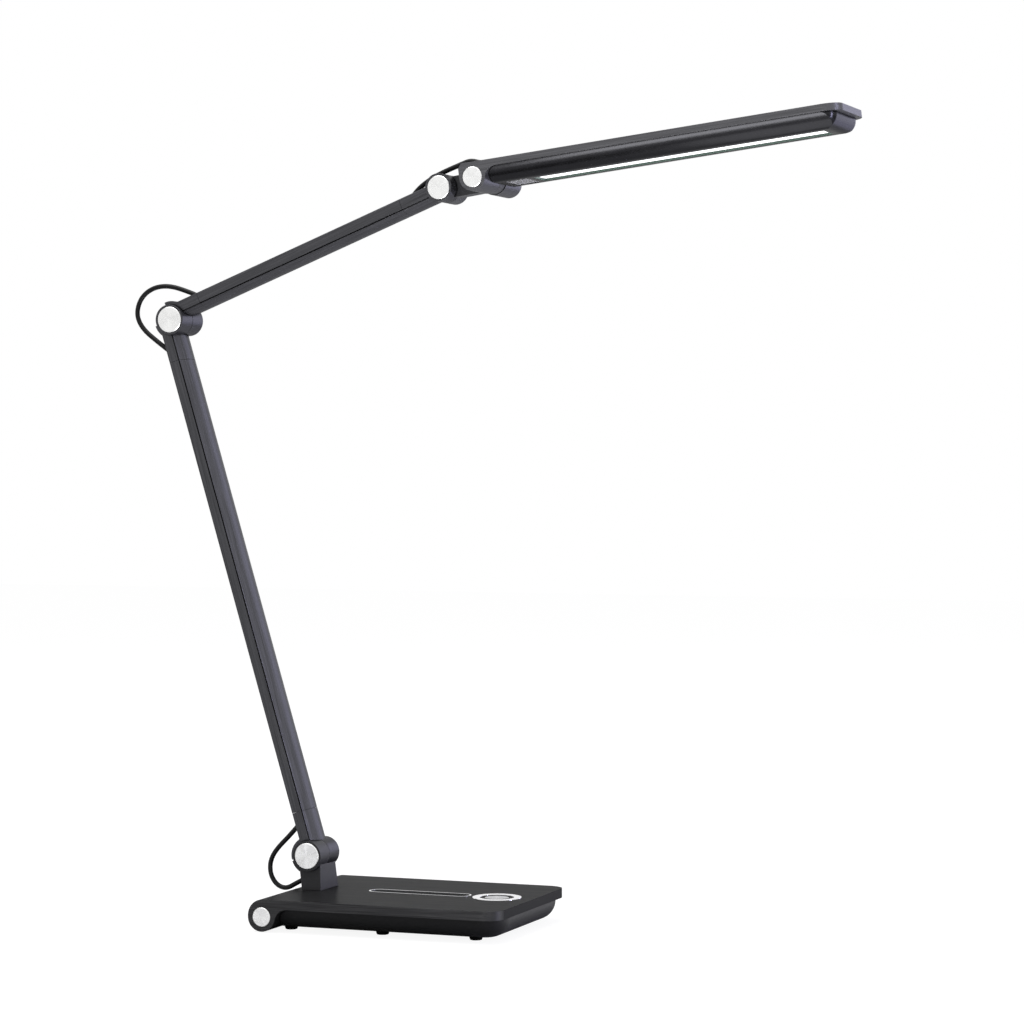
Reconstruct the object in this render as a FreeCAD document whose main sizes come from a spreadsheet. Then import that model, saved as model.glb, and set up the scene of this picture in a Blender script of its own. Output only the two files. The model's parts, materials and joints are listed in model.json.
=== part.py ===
import FreeCAD, Part
import math
import os
import Sketcher
from types import SimpleNamespace
from FreeCAD import Placement, Rotation, Vector

# LED desk lamp on two folding arms, in millimetres, +Z up, facing +X.
# The origin is on the desk, under the middle of the lamp as it stands.
# Near means the -Y side, far the +Y side.

SIZES = {
    # stance: lengths between the pivots, and how each piece leans or rises in degrees
    "lower_reach": 400.0,
    "upper_reach": 229.0,
    "link_reach": 33.5,
    "lower_lean": 15.8,
    "upper_rise": 23.0,
    "link_rise": 8.2,
    "head_rise": 6.9,
    # base cover: a plate whose rear edge is rolled into a barrel
    "base_length": 188.0,
    "base_width": 139.0,
    "base_top": 23.3,
    "cover_thickness": 6.6,
    "base_corner": 13.5,
    "roll_radius": 10.3,
    "roll_lift": 0.6,
    "roll_shoulder": 11.4,
    "roll_fillet": 9.4,
    "roll_cap_radius": 6.9,
    # base tray, feet and ballast; feet and bosses stand in from the ends and sides of the base
    "foot_height": 2.5,
    "foot_radius": 5.2,
    "foot_taper": 0.9,
    "foot_spacing": 23.9,
    "foot_spread": 24.0,
    "foot_shift": -1.4,
    "foot_socket": 0.8,
    "tray_inset": 7.0,
    "tray_front_inset": 1.0,
    "tray_corner": 18.0,
    "tray_edge": 13.5,
    "tray_floor": 2.4,
    "tray_wall": 10.5,
    "tray_gap": 0.3,
    "tray_heel": 2.1,
    "ballast_length": 96.0,
    "ballast_width": 82.0,
    "ballast_thickness": 6.0,
    "ballast_margin": 46.0,
    "ballast_gap": 1.5,
    "screw_radius": 1.5,
    "screw_head_radius": 2.8,
    "screw_head_height": 1.8,
    "boss_radius": 4.0,
    "boss_spread": 22.0,
    # controls on the base: the key stands in from the front edge, the slider behind the key
    "slider_length": 77.7,
    "slider_width": 15.0,
    "slider_place": 58.65,
    "slider_rim": 1.1,
    "slider_depth": 1.8,
    "slider_clearance": 2.0,
    "key_place": 27.5,
    "ring_radius": 17.4,
    "ring_bore": 12.0,
    "ring_depth": 1.6,
    "trim_proud": 0.3,
    "key_radius": 8.7,
    "key_flange": 1.7,
    "key_flange_height": 1.0,
    "key_gap": 0.3,
    "key_recess": 0.1,
    "switch_gap": 0.7,
    "switch_height": 1.9,
    "switch_width": 6.2,
    "board_thickness": 1.6,
    "board_width": 30.0,
    "board_margin": 6.0,
    # power inlet in the rolled edge
    "jack_place": 25.0,
    "jack_radius": 4.6,
    "jack_length": 11.0,
    "jack_bore": 2.9,
    "jack_bore_depth": 9.0,
    "jack_pin_radius": 1.05,
    "jack_set_back": 0.7,
    # hinge post, in from the rear edge, wider at its foot
    "post_place": 20.95,
    "post_flare": 1.4,
    "post_side_flare": 2.4,
    "post_height": 24.5,
    "post_front": 9.0,
    "post_rear": 4.2,
    "post_back_slope": 10.0,
    "post_screw_radius": 2.0,
    "post_screw_head": 3.6,
    "post_screw_depth": 9.0,
    "post_screw_spread": 7.0,
    "post_screw_sink": 2.1,
    "post_waist": 5.45,
    # hinges: barrels split in a near half and a far half, with a washer between
    "barrel_length": 33.0,
    "hinge_core": 10.9,
    "wrist_core": 9.9,
    "lip_radius": 13.6,
    "hinge_gap": 0.3,
    "post_lip_start": 199.0,
    "post_lip_end": 240.0,
    "lower_lip_start": 108.0,
    "lower_lip_end": 179.0,
    "elbow_lip_start": 184.2,
    "elbow_lip_end": 226.0,
    "upper_lip_start": 136.0,
    "upper_lip_end": 181.0,
    "washer_thickness": 0.5,
    "washer_radius": 9.2,
    "pin_radius": 3.0,
    "pin_head_radius": 5.2,
    "pin_head_height": 2.4,
    "running_gap": 0.05,
    "press_gap": 0.03,
    "nut_radius": 5.5,
    "nut_height": 4.0,
    "cap_margin": 1.45,
    "cap_depth": 2.2,
    "cap_proud": 0.2,
    # arms: a channel with a bowed front cover, between two moulded knuckles
    "arm_width": 26.0,
    "arm_side": 7.7,
    "arm_bow": 3.75,
    "arm_wall": 1.6,
    "arm_seam": 0.9,
    "arm_edge": 1.2,
    "arm_joint": 0.15,
    "arm_groove": 0.8,
    "knuckle_length": 32.0,
    "elbow_knuckle": 29.8,
    "short_knuckle": 26.0,
    "lower_rear_start": 4.75,
    "lower_rear_end": 10.3,
    "upper_rear_start": 9.9,
    "upper_rear_end": 5.8,
    "cover_leg": 3.0,
    "fit_gap": 0.15,
    "spigot_length": 9.0,
    # link between the wrist and the head
    "link_width": 11.5,
    "link_under": 7.45,
    "link_over": 7.4,
    "tilt_core": 9.0,
    "tilt_pin_radius": 2.5,
    "tilt_washer": 0.5,
    "tilt_washer_radius": 6.5,
    # head: a plate whose rear edge is rolled into a barrel, over a glossy housing
    "head_length": 263.5,
    "head_width": 71.7,
    "head_corner": 12.0,
    "plate_top": 10.4,
    "plate_thickness": 4.8,
    "head_roll": 9.6,
    "head_roll_cap": 7.3,
    "head_fillet": 8.0,
    "head_nose_run": 2.4,
    "head_nose_drop": 3.2,
    "slot_mouth": 3.0,
    "slot_floor": 3.5,
    "housing_depth": 10.1,
    "housing_inset": 1.9,
    "housing_end_inset": 4.5,
    "housing_corner": 10.0,
    "housing_round": 9.4,
    "housing_bend": 19.4,
    "housing_wall": 1.8,
    "housing_end_wall": 1.8,
    "window_start": 36.0,
    "window_length": 210.0,
    "window_width": 40.0,
    "window_margin": 13.0,
    "window_rim": 4.5,
    "diffuser_thickness": 2.0,
    "diffuser_recess": 1.6,
    "diffuser_flange": 2.5,
    "led_board_thickness": 1.6,
    "led_board_width": 30.0,
    "led_board_margin": 5.0,
    "led_size": 3.5,
    "led_height": 0.9,
    "led_count": 24,
    "grille_start": 15.0,
    "grille_length": 17.0,
    "grille_width": 44.0,
    "grille_overlap": 2.0,
    "grille_thickness": 1.2,
    "grille_slots": 9,
    "grille_slot_width": 1.0,
    # cable
    "cable_radius": 1.75,
    "cable_gap": 0.4,
    "cable_drill": 6.0,
    "cable_long_drill": 12.0,
    "lead_set_back": 2.5,
}

# Corners of the cable routes in the lamp's middle plane, as (forward, up) from a pivot.
BASE_LOOP = [(-5.5, 29.5), (-18.5, 14.4), (-31.2, 2.2), (-36.2, -6.2), (-36.6, -14.8), (-33.6, -21.4),
             (-28.6, -25.4), (-22.6, -26.0), (-15.5, -21.9), (-6.5, -17.4), (1.0, -14.5)]
ELBOW_LOOP = [(3.2, -30.1), (-6.5, -23.4), (-18.5, -14.8), (-28.6, -7.0), (-33.9, 1.0), (-34.5, 8.2),
              (-31.9, 15.5), (-26.6, 21.2), (-18.0, 25.0), (-6.5, 25.2), (8.0, 20.6), (18.5, 16.2),
              (23.2, 14.1)]
WRIST_REAR = [(-29.4, -8.5), (-23.4, -0.4), (-14.2, 6.3), (-5.0, 11.2), (4.4, 14.7)]
WRIST_FRONT = [(4.4, 14.7), (12.0, 17.53), (18.2, 19.6), (26.3, 17.4), (35.15, 17.8), (43.2, 13.65),
               (49.4, 8.25)]

doc = FreeCAD.newDocument("DeskLamp")
sheet = doc.addObject("Spreadsheet::Sheet", "Sizes")
for row, (name, value) in enumerate(SIZES.items(), 1):
    sheet.set(f"A{row}", name)
    sheet.set(f"B{row}", str(value))
    sheet.setAlias(f"B{row}", name)
doc.recompute()
s = SimpleNamespace(**{name: float(sheet.get(name)) for name in SIZES})
nodes = {}


# Small helpers

def turn(angle):
    """A rotation about the hinge direction: positive turns up towards forward."""
    return Rotation(Vector(0, 1, 0), angle)


def at(x=0.0, y=0.0, z=0.0, angle=0.0):
    return Placement(Vector(x, y, z), turn(angle))


def polar(radius, angle):
    return (radius * math.cos(math.radians(angle)), radius * math.sin(math.radians(angle)))


def keep(label, thing, placement=None):
    """Names a finished sub-part and puts it in its place."""
    thing.Label = label
    if placement is not None:
        thing.Placement = placement
    nodes[label] = thing
    return thing


def bind(thing, **formulas):
    for name, formula in formulas.items():
        thing.setExpression(name, formula)
    return thing


def new_body(name):
    return doc.addObject("PartDesign::Body", name)


def new_sketch(body, role):
    plane = next(feature for feature in body.Origin.OriginFeatures if feature.Role == role)
    sketch = body.newObject("Sketcher::SketchObject", "Profile")
    sketch.AttachmentSupport = (plane, [""])
    sketch.MapMode = "FlatFace"
    return sketch


def circle(formula, x=0.0, y=0.0):
    """Draws a circle whose radius is bound to the sheet."""
    def draw(sketch):
        index = sketch.addGeometry(Part.Circle(Vector(x, y, 0), Vector(0, 0, 1), 1.0), False)
        radius = sketch.addConstraint(Sketcher.Constraint("Radius", index, 1.0))
        sketch.setExpression(f"Constraints[{radius}]", formula)
    return draw


def annulus(outer, inner, x=0.0, y=0.0):
    def draw(sketch):
        circle(outer, x, y)(sketch)
        circle(inner, x, y)(sketch)
    return draw


def outline(start, *steps):
    """Draws a closed outline: a step is an end point, or the middle and the end of an arc."""
    def draw(sketch):
        here = Vector(*start, 0)
        for step in steps + (start,):
            if isinstance(step[0], tuple):
                middle, end = (Vector(*point, 0) for point in step)
                sketch.addGeometry(Part.Arc(here, middle, end), False)
            else:
                end = Vector(*step, 0)
                if (end - here).Length > 1e-6:
                    sketch.addGeometry(Part.LineSegment(here, end), False)
            here = end
    return draw


def rectangle(x_low, x_high, y_low, y_high):
    return outline((x_low, y_low), (x_high, y_low), (x_high, y_high), (x_low, y_high))


def stadium(length, width, x=0.0):
    half = (length - width) / 2
    bow = width / 2
    return outline((x - half, -bow), (x + half, -bow), ((x + half + bow, 0.0), (x + half, bow)),
                   (x - half, bow), ((x - half - bow, 0.0), (x - half, -bow)))


def extrude(body, role, draw, low, high, cut=False):
    """Pads or cuts a profile between two levels, given as formulas, along its plane's axis."""
    sketch = new_sketch(body, role)
    # the side plane's own axis points to the near side, so its levels count from the far one
    start = f"-({high})" if role == "XZ_Plane" else low
    sketch.setExpression("AttachmentOffset.Base.z", start)
    draw(sketch)
    feature = body.newObject("PartDesign::Pocket" if cut else "PartDesign::Pad", "Cut" if cut else "Pad")
    feature.Profile = sketch
    feature.Reversed = cut
    feature.setExpression("Length", f"({high}) - ({low})")
    return feature


def across(body, draw, low, high, cut=False):
    return extrude(body, "XZ_Plane", draw, low, high, cut)


def upward(body, draw, low, high, cut=False):
    return extrude(body, "XY_Plane", draw, low, high, cut)


def along(body, draw, low, high, cut=False):
    return extrude(body, "YZ_Plane", draw, low, high, cut)


def round_edges(body, radius, wanted):
    """Fillets the edges of a body's last feature that a test picks."""
    doc.recompute()
    base = body.Tip
    names = [f"Edge{i}" for i, edge in enumerate(base.Shape.Edges, 1) if wanted(edge)]
    feature = body.newObject("PartDesign::Fillet", "Round")
    feature.Base = (base, names)
    feature.setExpression("Radius", radius)
    return feature


def upright_at(x, y, reach=0.5):
    """Picks an upright edge at a place in plan."""
    def wanted(edge):
        box = edge.BoundBox
        straight = box.XLength < 1e-3 and box.YLength < 1e-3
        return straight and abs(box.XMin - x) < reach and abs(abs(box.YMin) - y) < reach
    return wanted


def rod(name, radius, height, start, placement=Placement(), axis="Y"):
    """A cylinder along Y, Z or X from a start point, with its sizes bound to the sheet."""
    way = {"Y": Rotation(Vector(1, 0, 0), -90), "Z": Rotation(), "X": Rotation(Vector(0, 1, 0), 90)}[axis]
    cylinder = doc.addObject("Part::Cylinder", name)
    bind(cylinder, Radius=radius, Height=height)
    cylinder.Placement = placement * Placement(Vector(*start), way)
    return cylinder


def fuse(name, *pieces):
    joined = doc.addObject("Part::MultiFuse", name)
    joined.Shapes = list(pieces)
    return joined


def cut(name, base, *tools):
    result = doc.addObject("Part::Cut", name)
    result.Base = base
    result.Tool = tools[0] if len(tools) == 1 else fuse(name + "_tools", *tools)
    return result


def group(name, *pieces):
    """Equal loose pieces that share one node."""
    compound = doc.addObject("Part::Compound", name)
    compound.Links = list(pieces)
    return compound


# Stance: the pivots as the lamp stands

half_base = s.base_length / 2
post_x = s.post_place - half_base
key_x = half_base - s.key_place
slider_x = key_x - s.slider_place
slider_room = slider_x - post_x - s.post_front - s.post_flare - s.slider_clearance
slider_run = min(s.slider_length, 2 * slider_room)
hinge_from_base = Vector(post_x, 0, s.base_top + s.post_height)
lower_turn = turn(-s.lower_lean)
upper_turn = turn(90 - s.upper_rise)
elbow_from_base = hinge_from_base + lower_turn.multVec(Vector(0, 0, s.lower_reach))
wrist_from_base = elbow_from_base + upper_turn.multVec(Vector(0, 0, s.upper_reach))
tilt_from_base = wrist_from_base + turn(-s.link_rise).multVec(Vector(s.link_reach, 0, 0))
plate_tip = Vector(s.head_length, 0, s.plate_top - s.plate_thickness)
tip_from_base = tilt_from_base + turn(-s.head_rise).multVec(plate_tip)
rear_most = elbow_from_base.x + polar(s.lip_radius, s.elbow_lip_start + s.lower_lean)[0]
base_place = -(rear_most + tip_from_base.x) / 2
shift = Vector(base_place, 0, 0)
base_pose = Placement(shift, Rotation())
post_pose = Placement(hinge_from_base + shift, Rotation())
lower_pose = Placement(hinge_from_base + shift, lower_turn)
elbow_pose = Placement(elbow_from_base + shift, lower_turn)
upper_pose = Placement(elbow_from_base + shift, upper_turn)
wrist_pose = Placement(wrist_from_base + shift, upper_turn)
link_pose = Placement(wrist_from_base + shift, turn(-s.link_rise))
head_pose = Placement(tilt_from_base + shift, turn(-s.head_rise))


# Cables

def cable_path(points, pivot):
    """Straight runs with tangent arcs as large as the runs allow."""
    corners = [pivot + Vector(x, 0, z) for x, z in points]
    edges = []
    radii = []
    here = corners[0]
    for before, corner, after in zip(corners, corners[1:], corners[2:]):
        back = before - corner
        ahead = after - corner
        half_turn = (math.pi - back.getAngle(ahead)) / 2
        trim = 0.45 * min(back.Length, ahead.Length)
        radius = trim / math.tan(half_turn)
        first = corner + Vector(back).normalize() * trim
        last = corner + Vector(ahead).normalize() * trim
        inward = (Vector(back).normalize() + Vector(ahead).normalize()).normalize()
        middle = corner + inward * (radius / math.cos(half_turn) - radius)
        edges.append(Part.LineSegment(here, first).toShape())
        edges.append(Part.Arc(first, middle, last).toShape())
        radii.append(radius)
        here = last
    edges.append(Part.LineSegment(here, corners[-1]).toShape())
    return Part.Wire(edges), corners, radii


def cable(label, points, pivot):
    path, corners, radii = cable_path(points, pivot)
    start = corners[1] - corners[0]
    section = Part.Wire(Part.makeCircle(s.cable_radius, corners[0], start))
    tube = path.makePipeShell([section], True, False)
    wanted = math.pi * s.cable_radius ** 2 * path.Length
    print(label, "length %.1f" % path.Length, "radii", [round(radius, 1) for radius in radii],
          "volume %.4f of section by length" % (tube.Volume / wanted))
    feature = doc.addObject("Part::Feature", label)
    feature.Shape = tube
    return keep(label, feature)


def cable_hole(name, points, pivot, from_start=True, past=s.cable_drill):
    """A drill along the first or last run of a route, for the piece that the cable goes into."""
    inner, outer = (points[0], points[1]) if from_start else (points[-1], points[-2])
    inner = pivot + Vector(inner[0], 0, inner[1])
    outer = pivot + Vector(outer[0], 0, outer[1])
    way = outer - inner
    drill = doc.addObject("Part::Cylinder", name)
    bind(drill, Radius="Sizes.cable_radius + Sizes.cable_gap")
    drill.Height = way.Length + past
    drill.Placement = Placement(inner - way.normalize() * s.cable_gap, Rotation(Vector(0, 0, 1), way))
    return drill


# Hinges

NEAR_END = "-Sizes.barrel_length / 2"
FAR_END = "Sizes.barrel_length / 2"
NEAR_FACE = "-Sizes.washer_thickness / 2"
FAR_FACE = "Sizes.washer_thickness / 2"
NEAR_SIDE = "-Sizes.arm_width / 2"
FAR_SIDE = "Sizes.arm_width / 2"
NEAR_SEAT = "Sizes.cap_depth - Sizes.barrel_length / 2"
FAR_SEAT = "Sizes.barrel_length / 2 - Sizes.cap_depth"
CLEAR_OF_ARM = "Sizes.barrel_length"


def near_half(body, core):
    """The hinge half that holds the pin's head, with the other half's sweep cut from the body first."""
    across(body, circle(f"{core} + Sizes.hinge_gap"), NEAR_FACE, CLEAR_OF_ARM, cut=True)
    across(body, circle(core), NEAR_END, NEAR_FACE)
    across(body, circle(f"{core} - Sizes.cap_margin + Sizes.press_gap"), NEAR_END, NEAR_SEAT, cut=True)
    across(body, circle("Sizes.pin_head_radius + Sizes.press_gap"),
           NEAR_SEAT, f"{NEAR_SEAT} + Sizes.pin_head_height", cut=True)
    across(body, circle("Sizes.pin_radius + Sizes.press_gap"), NEAR_END, NEAR_FACE, cut=True)


def far_half(body, core):
    """The hinge half that turns on the pin, with a pocket for the nut behind its cap."""
    across(body, circle(f"{core} + Sizes.hinge_gap"), f"-({CLEAR_OF_ARM})", FAR_FACE, cut=True)
    across(body, circle(core), FAR_FACE, FAR_END)
    across(body, circle(f"{core} - Sizes.cap_margin + Sizes.press_gap"), FAR_SEAT, FAR_END, cut=True)
    across(body, circle("Sizes.nut_radius + Sizes.hinge_gap"),
           f"{FAR_SEAT} - Sizes.nut_height - Sizes.hinge_gap", FAR_SEAT, cut=True)
    across(body, circle("Sizes.pin_radius + Sizes.running_gap"), FAR_FACE, FAR_END, cut=True)


def hinge_hardware(prefix, core, pose):
    """Pin with head and nut, washer and two spun end caps of one split hinge."""
    half = s.barrel_length / 2
    seat = half - s.cap_depth
    shank = rod(prefix + "_shank", "Sizes.pin_radius",
                "Sizes.barrel_length - 2 * Sizes.cap_depth - Sizes.hinge_gap", (0, -seat, 0))
    head = rod(prefix + "_pin_head", "Sizes.pin_head_radius", "Sizes.pin_head_height", (0, -seat, 0))
    keep(prefix + "_pin", fuse(prefix + "_pin", shank, head), pose)
    nut = doc.addObject("Part::Prism", prefix + "_nut_block")
    bind(nut, Circumradius="Sizes.nut_radius", Height="Sizes.nut_height")
    nut.Placement = Placement(Vector(0, seat - s.nut_height - s.hinge_gap, 0), Rotation(Vector(1, 0, 0), -90))
    nut_bore = rod(prefix + "_nut_bore", "Sizes.pin_radius + Sizes.press_gap", "Sizes.barrel_length",
                   (0, -half, 0))
    keep(prefix + "_nut", cut(prefix + "_nut", nut, nut_bore), pose)
    disc = rod(prefix + "_disc", "Sizes.washer_radius", "Sizes.washer_thickness",
               (0, -s.washer_thickness / 2, 0))
    bore = rod(prefix + "_bore", "Sizes.pin_radius + Sizes.running_gap", "Sizes.barrel_length",
               (0, -half, 0))
    keep(prefix + "_washer", cut(prefix + "_washer", disc, bore), pose)
    for side, start in (("near", -half - s.cap_proud), ("far", seat)):
        cap = rod(f"{prefix}_{side}_cap", f"{core} - Sizes.cap_margin", "Sizes.cap_depth + Sizes.cap_proud",
                  (0, start, 0), pose)
        keep(f"{prefix}_{side}_cap", cap)


# Arms

def arm_back():
    """Steps of an outline round the back of an arm, from its far side to its near side."""
    half = s.arm_width / 2
    bend = s.arm_edge * (1 - math.sqrt(0.5))
    return ((s.arm_edge, half), ((bend, half - bend), (0, half - s.arm_edge)), (0, s.arm_edge - half),
            ((bend, bend - half), (s.arm_edge, -half)))


def arm_section():
    """Flat back and sides, and a bowed front behind a groove that carries on the tube's seam."""
    half = s.arm_width / 2
    side = s.arm_side
    brim = side + s.arm_seam
    bed = half - s.arm_groove
    return outline((s.arm_edge, -half), (side, -half), (side, -bed), (brim, -bed), (brim, -half),
                   ((side + s.arm_bow, 0.0), (brim, half)), (brim, bed), (side, bed), (side, half), *arm_back())


def lip_sector(first, last):
    """The wrapping lip, as a sector about the pivot."""
    middle = polar(s.lip_radius, (first + last) / 2)
    return outline((0.0, 0.0), polar(s.lip_radius, first), (middle, polar(s.lip_radius, last)))


def knuckle(name, side, length, rear, lean, half, core, lip=None):
    """An arm's moulded end. The arm leaves the pivot towards +Z or -Z, as side says."""
    body = new_body(name)
    root = Placement(Vector(-rear, 0, side * length), turn(lean))
    stub = new_sketch(body, "XY_Plane")
    stub.AttachmentOffset = root
    arm_section()(stub)
    pad = body.newObject("PartDesign::Pad", "Stub")
    pad.Profile = stub
    pad.Reversed = side > 0
    pad.Length = length
    if lip:
        across(body, lip_sector(*lip), NEAR_SIDE, FAR_SIDE)
    tongue = new_sketch(body, "XY_Plane")
    tongue.AttachmentOffset = root
    reach = s.arm_width / 2 - s.arm_wall - s.fit_gap - s.arm_wall - s.fit_gap
    rectangle(s.arm_wall + s.fit_gap, s.arm_side - s.fit_gap, -reach, reach)(tongue)
    spigot = body.newObject("PartDesign::Pad", "Spigot")
    spigot.Profile = tongue
    spigot.Reversed = side < 0
    spigot.setExpression("Length", "Sizes.spigot_length")
    lead_way = new_sketch(body, "XY_Plane")
    lead_way.AttachmentOffset = root * Placement(Vector(0, 0, side * s.spigot_length), Rotation())
    circle("Sizes.cable_radius + Sizes.cable_gap", (s.arm_wall + s.arm_side) / 2, 0.0)(lead_way)
    drilled = body.newObject("PartDesign::Pocket", "LeadWay")
    drilled.Profile = lead_way
    drilled.Reversed = side < 0
    drilled.setExpression("Length", "2 * Sizes.spigot_length")
    half(body, core)
    return body


def arm_tube(prefix, pose, start, rear_start, rear_end, straight):
    """Channel, bowed front cover and lead between an arm's two knuckles."""
    length = math.hypot(straight, rear_end - rear_start) - 2 * s.arm_joint
    root = pose * at(-rear_start, 0, start, lean_of(rear_start, rear_end, straight))
    place = root * at(z=s.arm_joint)
    half = s.arm_width / 2
    wall = s.arm_wall
    side = s.arm_side
    channel = new_body(prefix + "_channel")
    upward(channel, outline((s.arm_edge, -half), (side, -half), (side, wall - half), (wall, wall - half),
                            (wall, half - wall), (side, half - wall), (side, half), *arm_back()),
           "0", f"{length}")
    keep(prefix + "_channel", channel, place)
    cover = new_body(prefix + "_cover")
    brim = side + s.arm_seam
    leg = half - wall - s.fit_gap
    crown = side + s.arm_bow
    upward(cover, outline((brim, -half), ((crown, 0.0), (brim, half)), (brim, leg), (side - s.cover_leg, leg),
                          (side - s.cover_leg, leg - wall), (brim, leg - wall),
                          ((crown - wall, 0.0), (brim, wall - leg)), (side - s.cover_leg, wall - leg),
                          (side - s.cover_leg, -leg), (brim, -leg)), "0", f"{length}")
    keep(prefix + "_cover", cover, place)
    lead = rod(prefix + "_lead", "Sizes.cable_radius", f"{length} - 2 * Sizes.lead_set_back",
               ((wall + side) / 2, 0, s.lead_set_back), place, "Z")
    keep(prefix + "_lead", lead)


def lean_of(rear_start, rear_end, straight):
    return math.degrees(math.atan2(rear_start - rear_end, straight))


# Base

def base_cover():
    """Plate rolled at the rear into a barrel, with bosses under it and cut-outs for the controls."""
    body = new_body("base_top_cover")
    roll_x = s.roll_radius - half_base
    roll_z = s.roll_lift + s.roll_radius
    under = s.base_top - s.cover_thickness
    shoulder_x = s.roll_shoulder - half_base
    shoulder_z = s.base_top - s.roll_shoulder
    fillet_z = under - s.roll_fillet
    joint = s.roll_radius + s.roll_fillet
    fillet_x = roll_x + math.sqrt(joint ** 2 - (roll_z - fillet_z) ** 2)
    share = s.roll_radius / joint
    meet = (roll_x + share * (fillet_x - roll_x), roll_z + share * (fillet_z - roll_z))
    shoulder = polar(s.roll_shoulder, 135)
    belly = polar(s.roll_radius, 250)
    hollow = polar(s.roll_fillet, 130)
    side = outline((half_base, s.base_top), (shoulder_x, s.base_top),
                   ((shoulder_x + shoulder[0], shoulder_z + shoulder[1]), (-half_base, shoulder_z)),
                   (-half_base, roll_z), ((roll_x + belly[0], roll_z + belly[1]), meet),
                   ((fillet_x + hollow[0], fillet_z + hollow[1]), (fillet_x, under)), (half_base, under))
    across(body, side, "-Sizes.base_width / 2", "Sizes.base_width / 2")
    round_edges(body, "Sizes.base_corner", upright_at(half_base, s.base_width / 2))
    top = "Sizes.base_top"
    plate_under = "Sizes.base_top - Sizes.cover_thickness"
    upward(body, stadium(slider_run, s.slider_width, slider_x), f"{top} - Sizes.slider_depth", top, True)
    upward(body, annulus("Sizes.ring_radius + Sizes.press_gap", "Sizes.ring_bore - Sizes.press_gap", key_x),
           f"{top} - Sizes.ring_depth", top, True)
    upward(body, circle("Sizes.key_radius + Sizes.key_gap", key_x), plate_under, top, True)
    flange_roof = f"{plate_under} + Sizes.switch_height + Sizes.switch_gap"
    upward(body, circle("Sizes.key_radius + Sizes.key_flange + Sizes.key_gap", key_x),
           plate_under, f"{flange_roof} + Sizes.key_flange_height + Sizes.key_gap", True)
    for x, y in boss_places():
        upward(body, circle("Sizes.boss_radius", x, y), "Sizes.foot_height + Sizes.tray_floor", plate_under)
        upward(body, circle("Sizes.screw_radius + Sizes.press_gap", x, y),
               "0", f"{top} - Sizes.cover_thickness / 2", True)
    for x, y in post_screw_places():
        upward(body, circle("Sizes.post_screw_radius + Sizes.fit_gap", x, y), plate_under, top, True)
        upward(body, circle("Sizes.post_screw_head + Sizes.fit_gap", x, y),
               "0", f"{plate_under} + Sizes.post_screw_sink", True)
    for low, high in (("-Sizes.base_width / 2", "Sizes.cap_depth - Sizes.base_width / 2"),
                      ("Sizes.base_width / 2 - Sizes.cap_depth", "Sizes.base_width / 2")):
        across(body, circle("Sizes.roll_cap_radius + Sizes.press_gap", roll_x, roll_z), low, high, True)
    along(body, circle("Sizes.jack_radius + Sizes.press_gap", s.jack_place, roll_z), "-Sizes.base_length / 2",
          "Sizes.jack_set_back + Sizes.jack_length - Sizes.base_length / 2", True)
    keep("base_top_cover", body, base_pose)
    caps = [rod(f"roll_cap_{side}", "Sizes.roll_cap_radius", "Sizes.cap_depth + Sizes.cap_proud",
                (roll_x, start, roll_z))
            for side, start in (("near", -s.base_width / 2 - s.cap_proud),
                                ("far", s.base_width / 2 - s.cap_depth))]
    keep("base_end_caps", group("base_end_caps", *caps), base_pose)
    return fillet_x, fillet_z


def boss_places():
    """Four screw bosses, between the feet."""
    run = half_base - s.foot_spacing
    spread = s.base_width / 2 - s.boss_spread
    return [(s.foot_shift + step * run, side * spread) for step in (-0.5, 0.5) for side in (-1, 1)]


def post_screw_places():
    middle = (s.post_front - s.post_rear) / 2 + post_x
    return [(middle, side * s.post_screw_spread) for side in (-1, 1)]


def base_tray(fillet_x, fillet_z):
    """Moulded tray with rounded lower edges, nested under the rolled edge, open on top."""
    body = new_body("base_tray")
    floor = s.foot_height
    under = s.base_top - s.cover_thickness
    front = half_base - s.tray_front_inset
    nest = s.roll_fillet - s.tray_gap
    knee = polar(nest, 135)
    heel = fillet_x - nest - s.tray_heel
    side = outline((heel, floor), (front, floor), (front, under), (fillet_x, under),
                   (fillet_x, fillet_z + nest),
                   ((fillet_x + knee[0], fillet_z + knee[1]), (fillet_x - nest, fillet_z)))
    half = s.base_width / 2 - s.tray_inset
    across(body, side, "Sizes.tray_inset - Sizes.base_width / 2", "Sizes.base_width / 2 - Sizes.tray_inset")
    round_edges(body, "Sizes.tray_corner", upright_at(front, half))

    def lower_edge(edge):
        box = edge.BoundBox
        at_floor = abs(box.ZMin - floor) < 1e-3 and abs(box.ZMax - floor) < 1e-3
        return at_floor and box.XMax > heel + 1

    round_edges(body, "Sizes.tray_edge", lower_edge)
    inside = half - s.tray_wall
    upward(body, rectangle(fillet_x, front - s.tray_wall, -inside, inside),
           "Sizes.foot_height + Sizes.tray_floor", "Sizes.base_top - Sizes.cover_thickness", True)
    for x, y in boss_places():
        upward(body, circle("Sizes.screw_radius + Sizes.fit_gap", x, y), "0", "Sizes.base_top", True)
        upward(body, circle("Sizes.screw_head_radius + Sizes.fit_gap", x, y),
               "0", "Sizes.foot_height + Sizes.screw_head_height", True)
    for x, y in foot_places():
        upward(body, circle("Sizes.foot_radius + Sizes.press_gap", x, y),
               "0", "Sizes.foot_height + Sizes.foot_socket", True)
    keep("base_tray", body, base_pose)


def foot_places():
    run = half_base - s.foot_spacing
    spread = s.base_width / 2 - s.foot_spread
    return [(s.foot_shift + step * run, side * spread) for step in (-1, 0, 1) for side in (-1, 1)]


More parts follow.
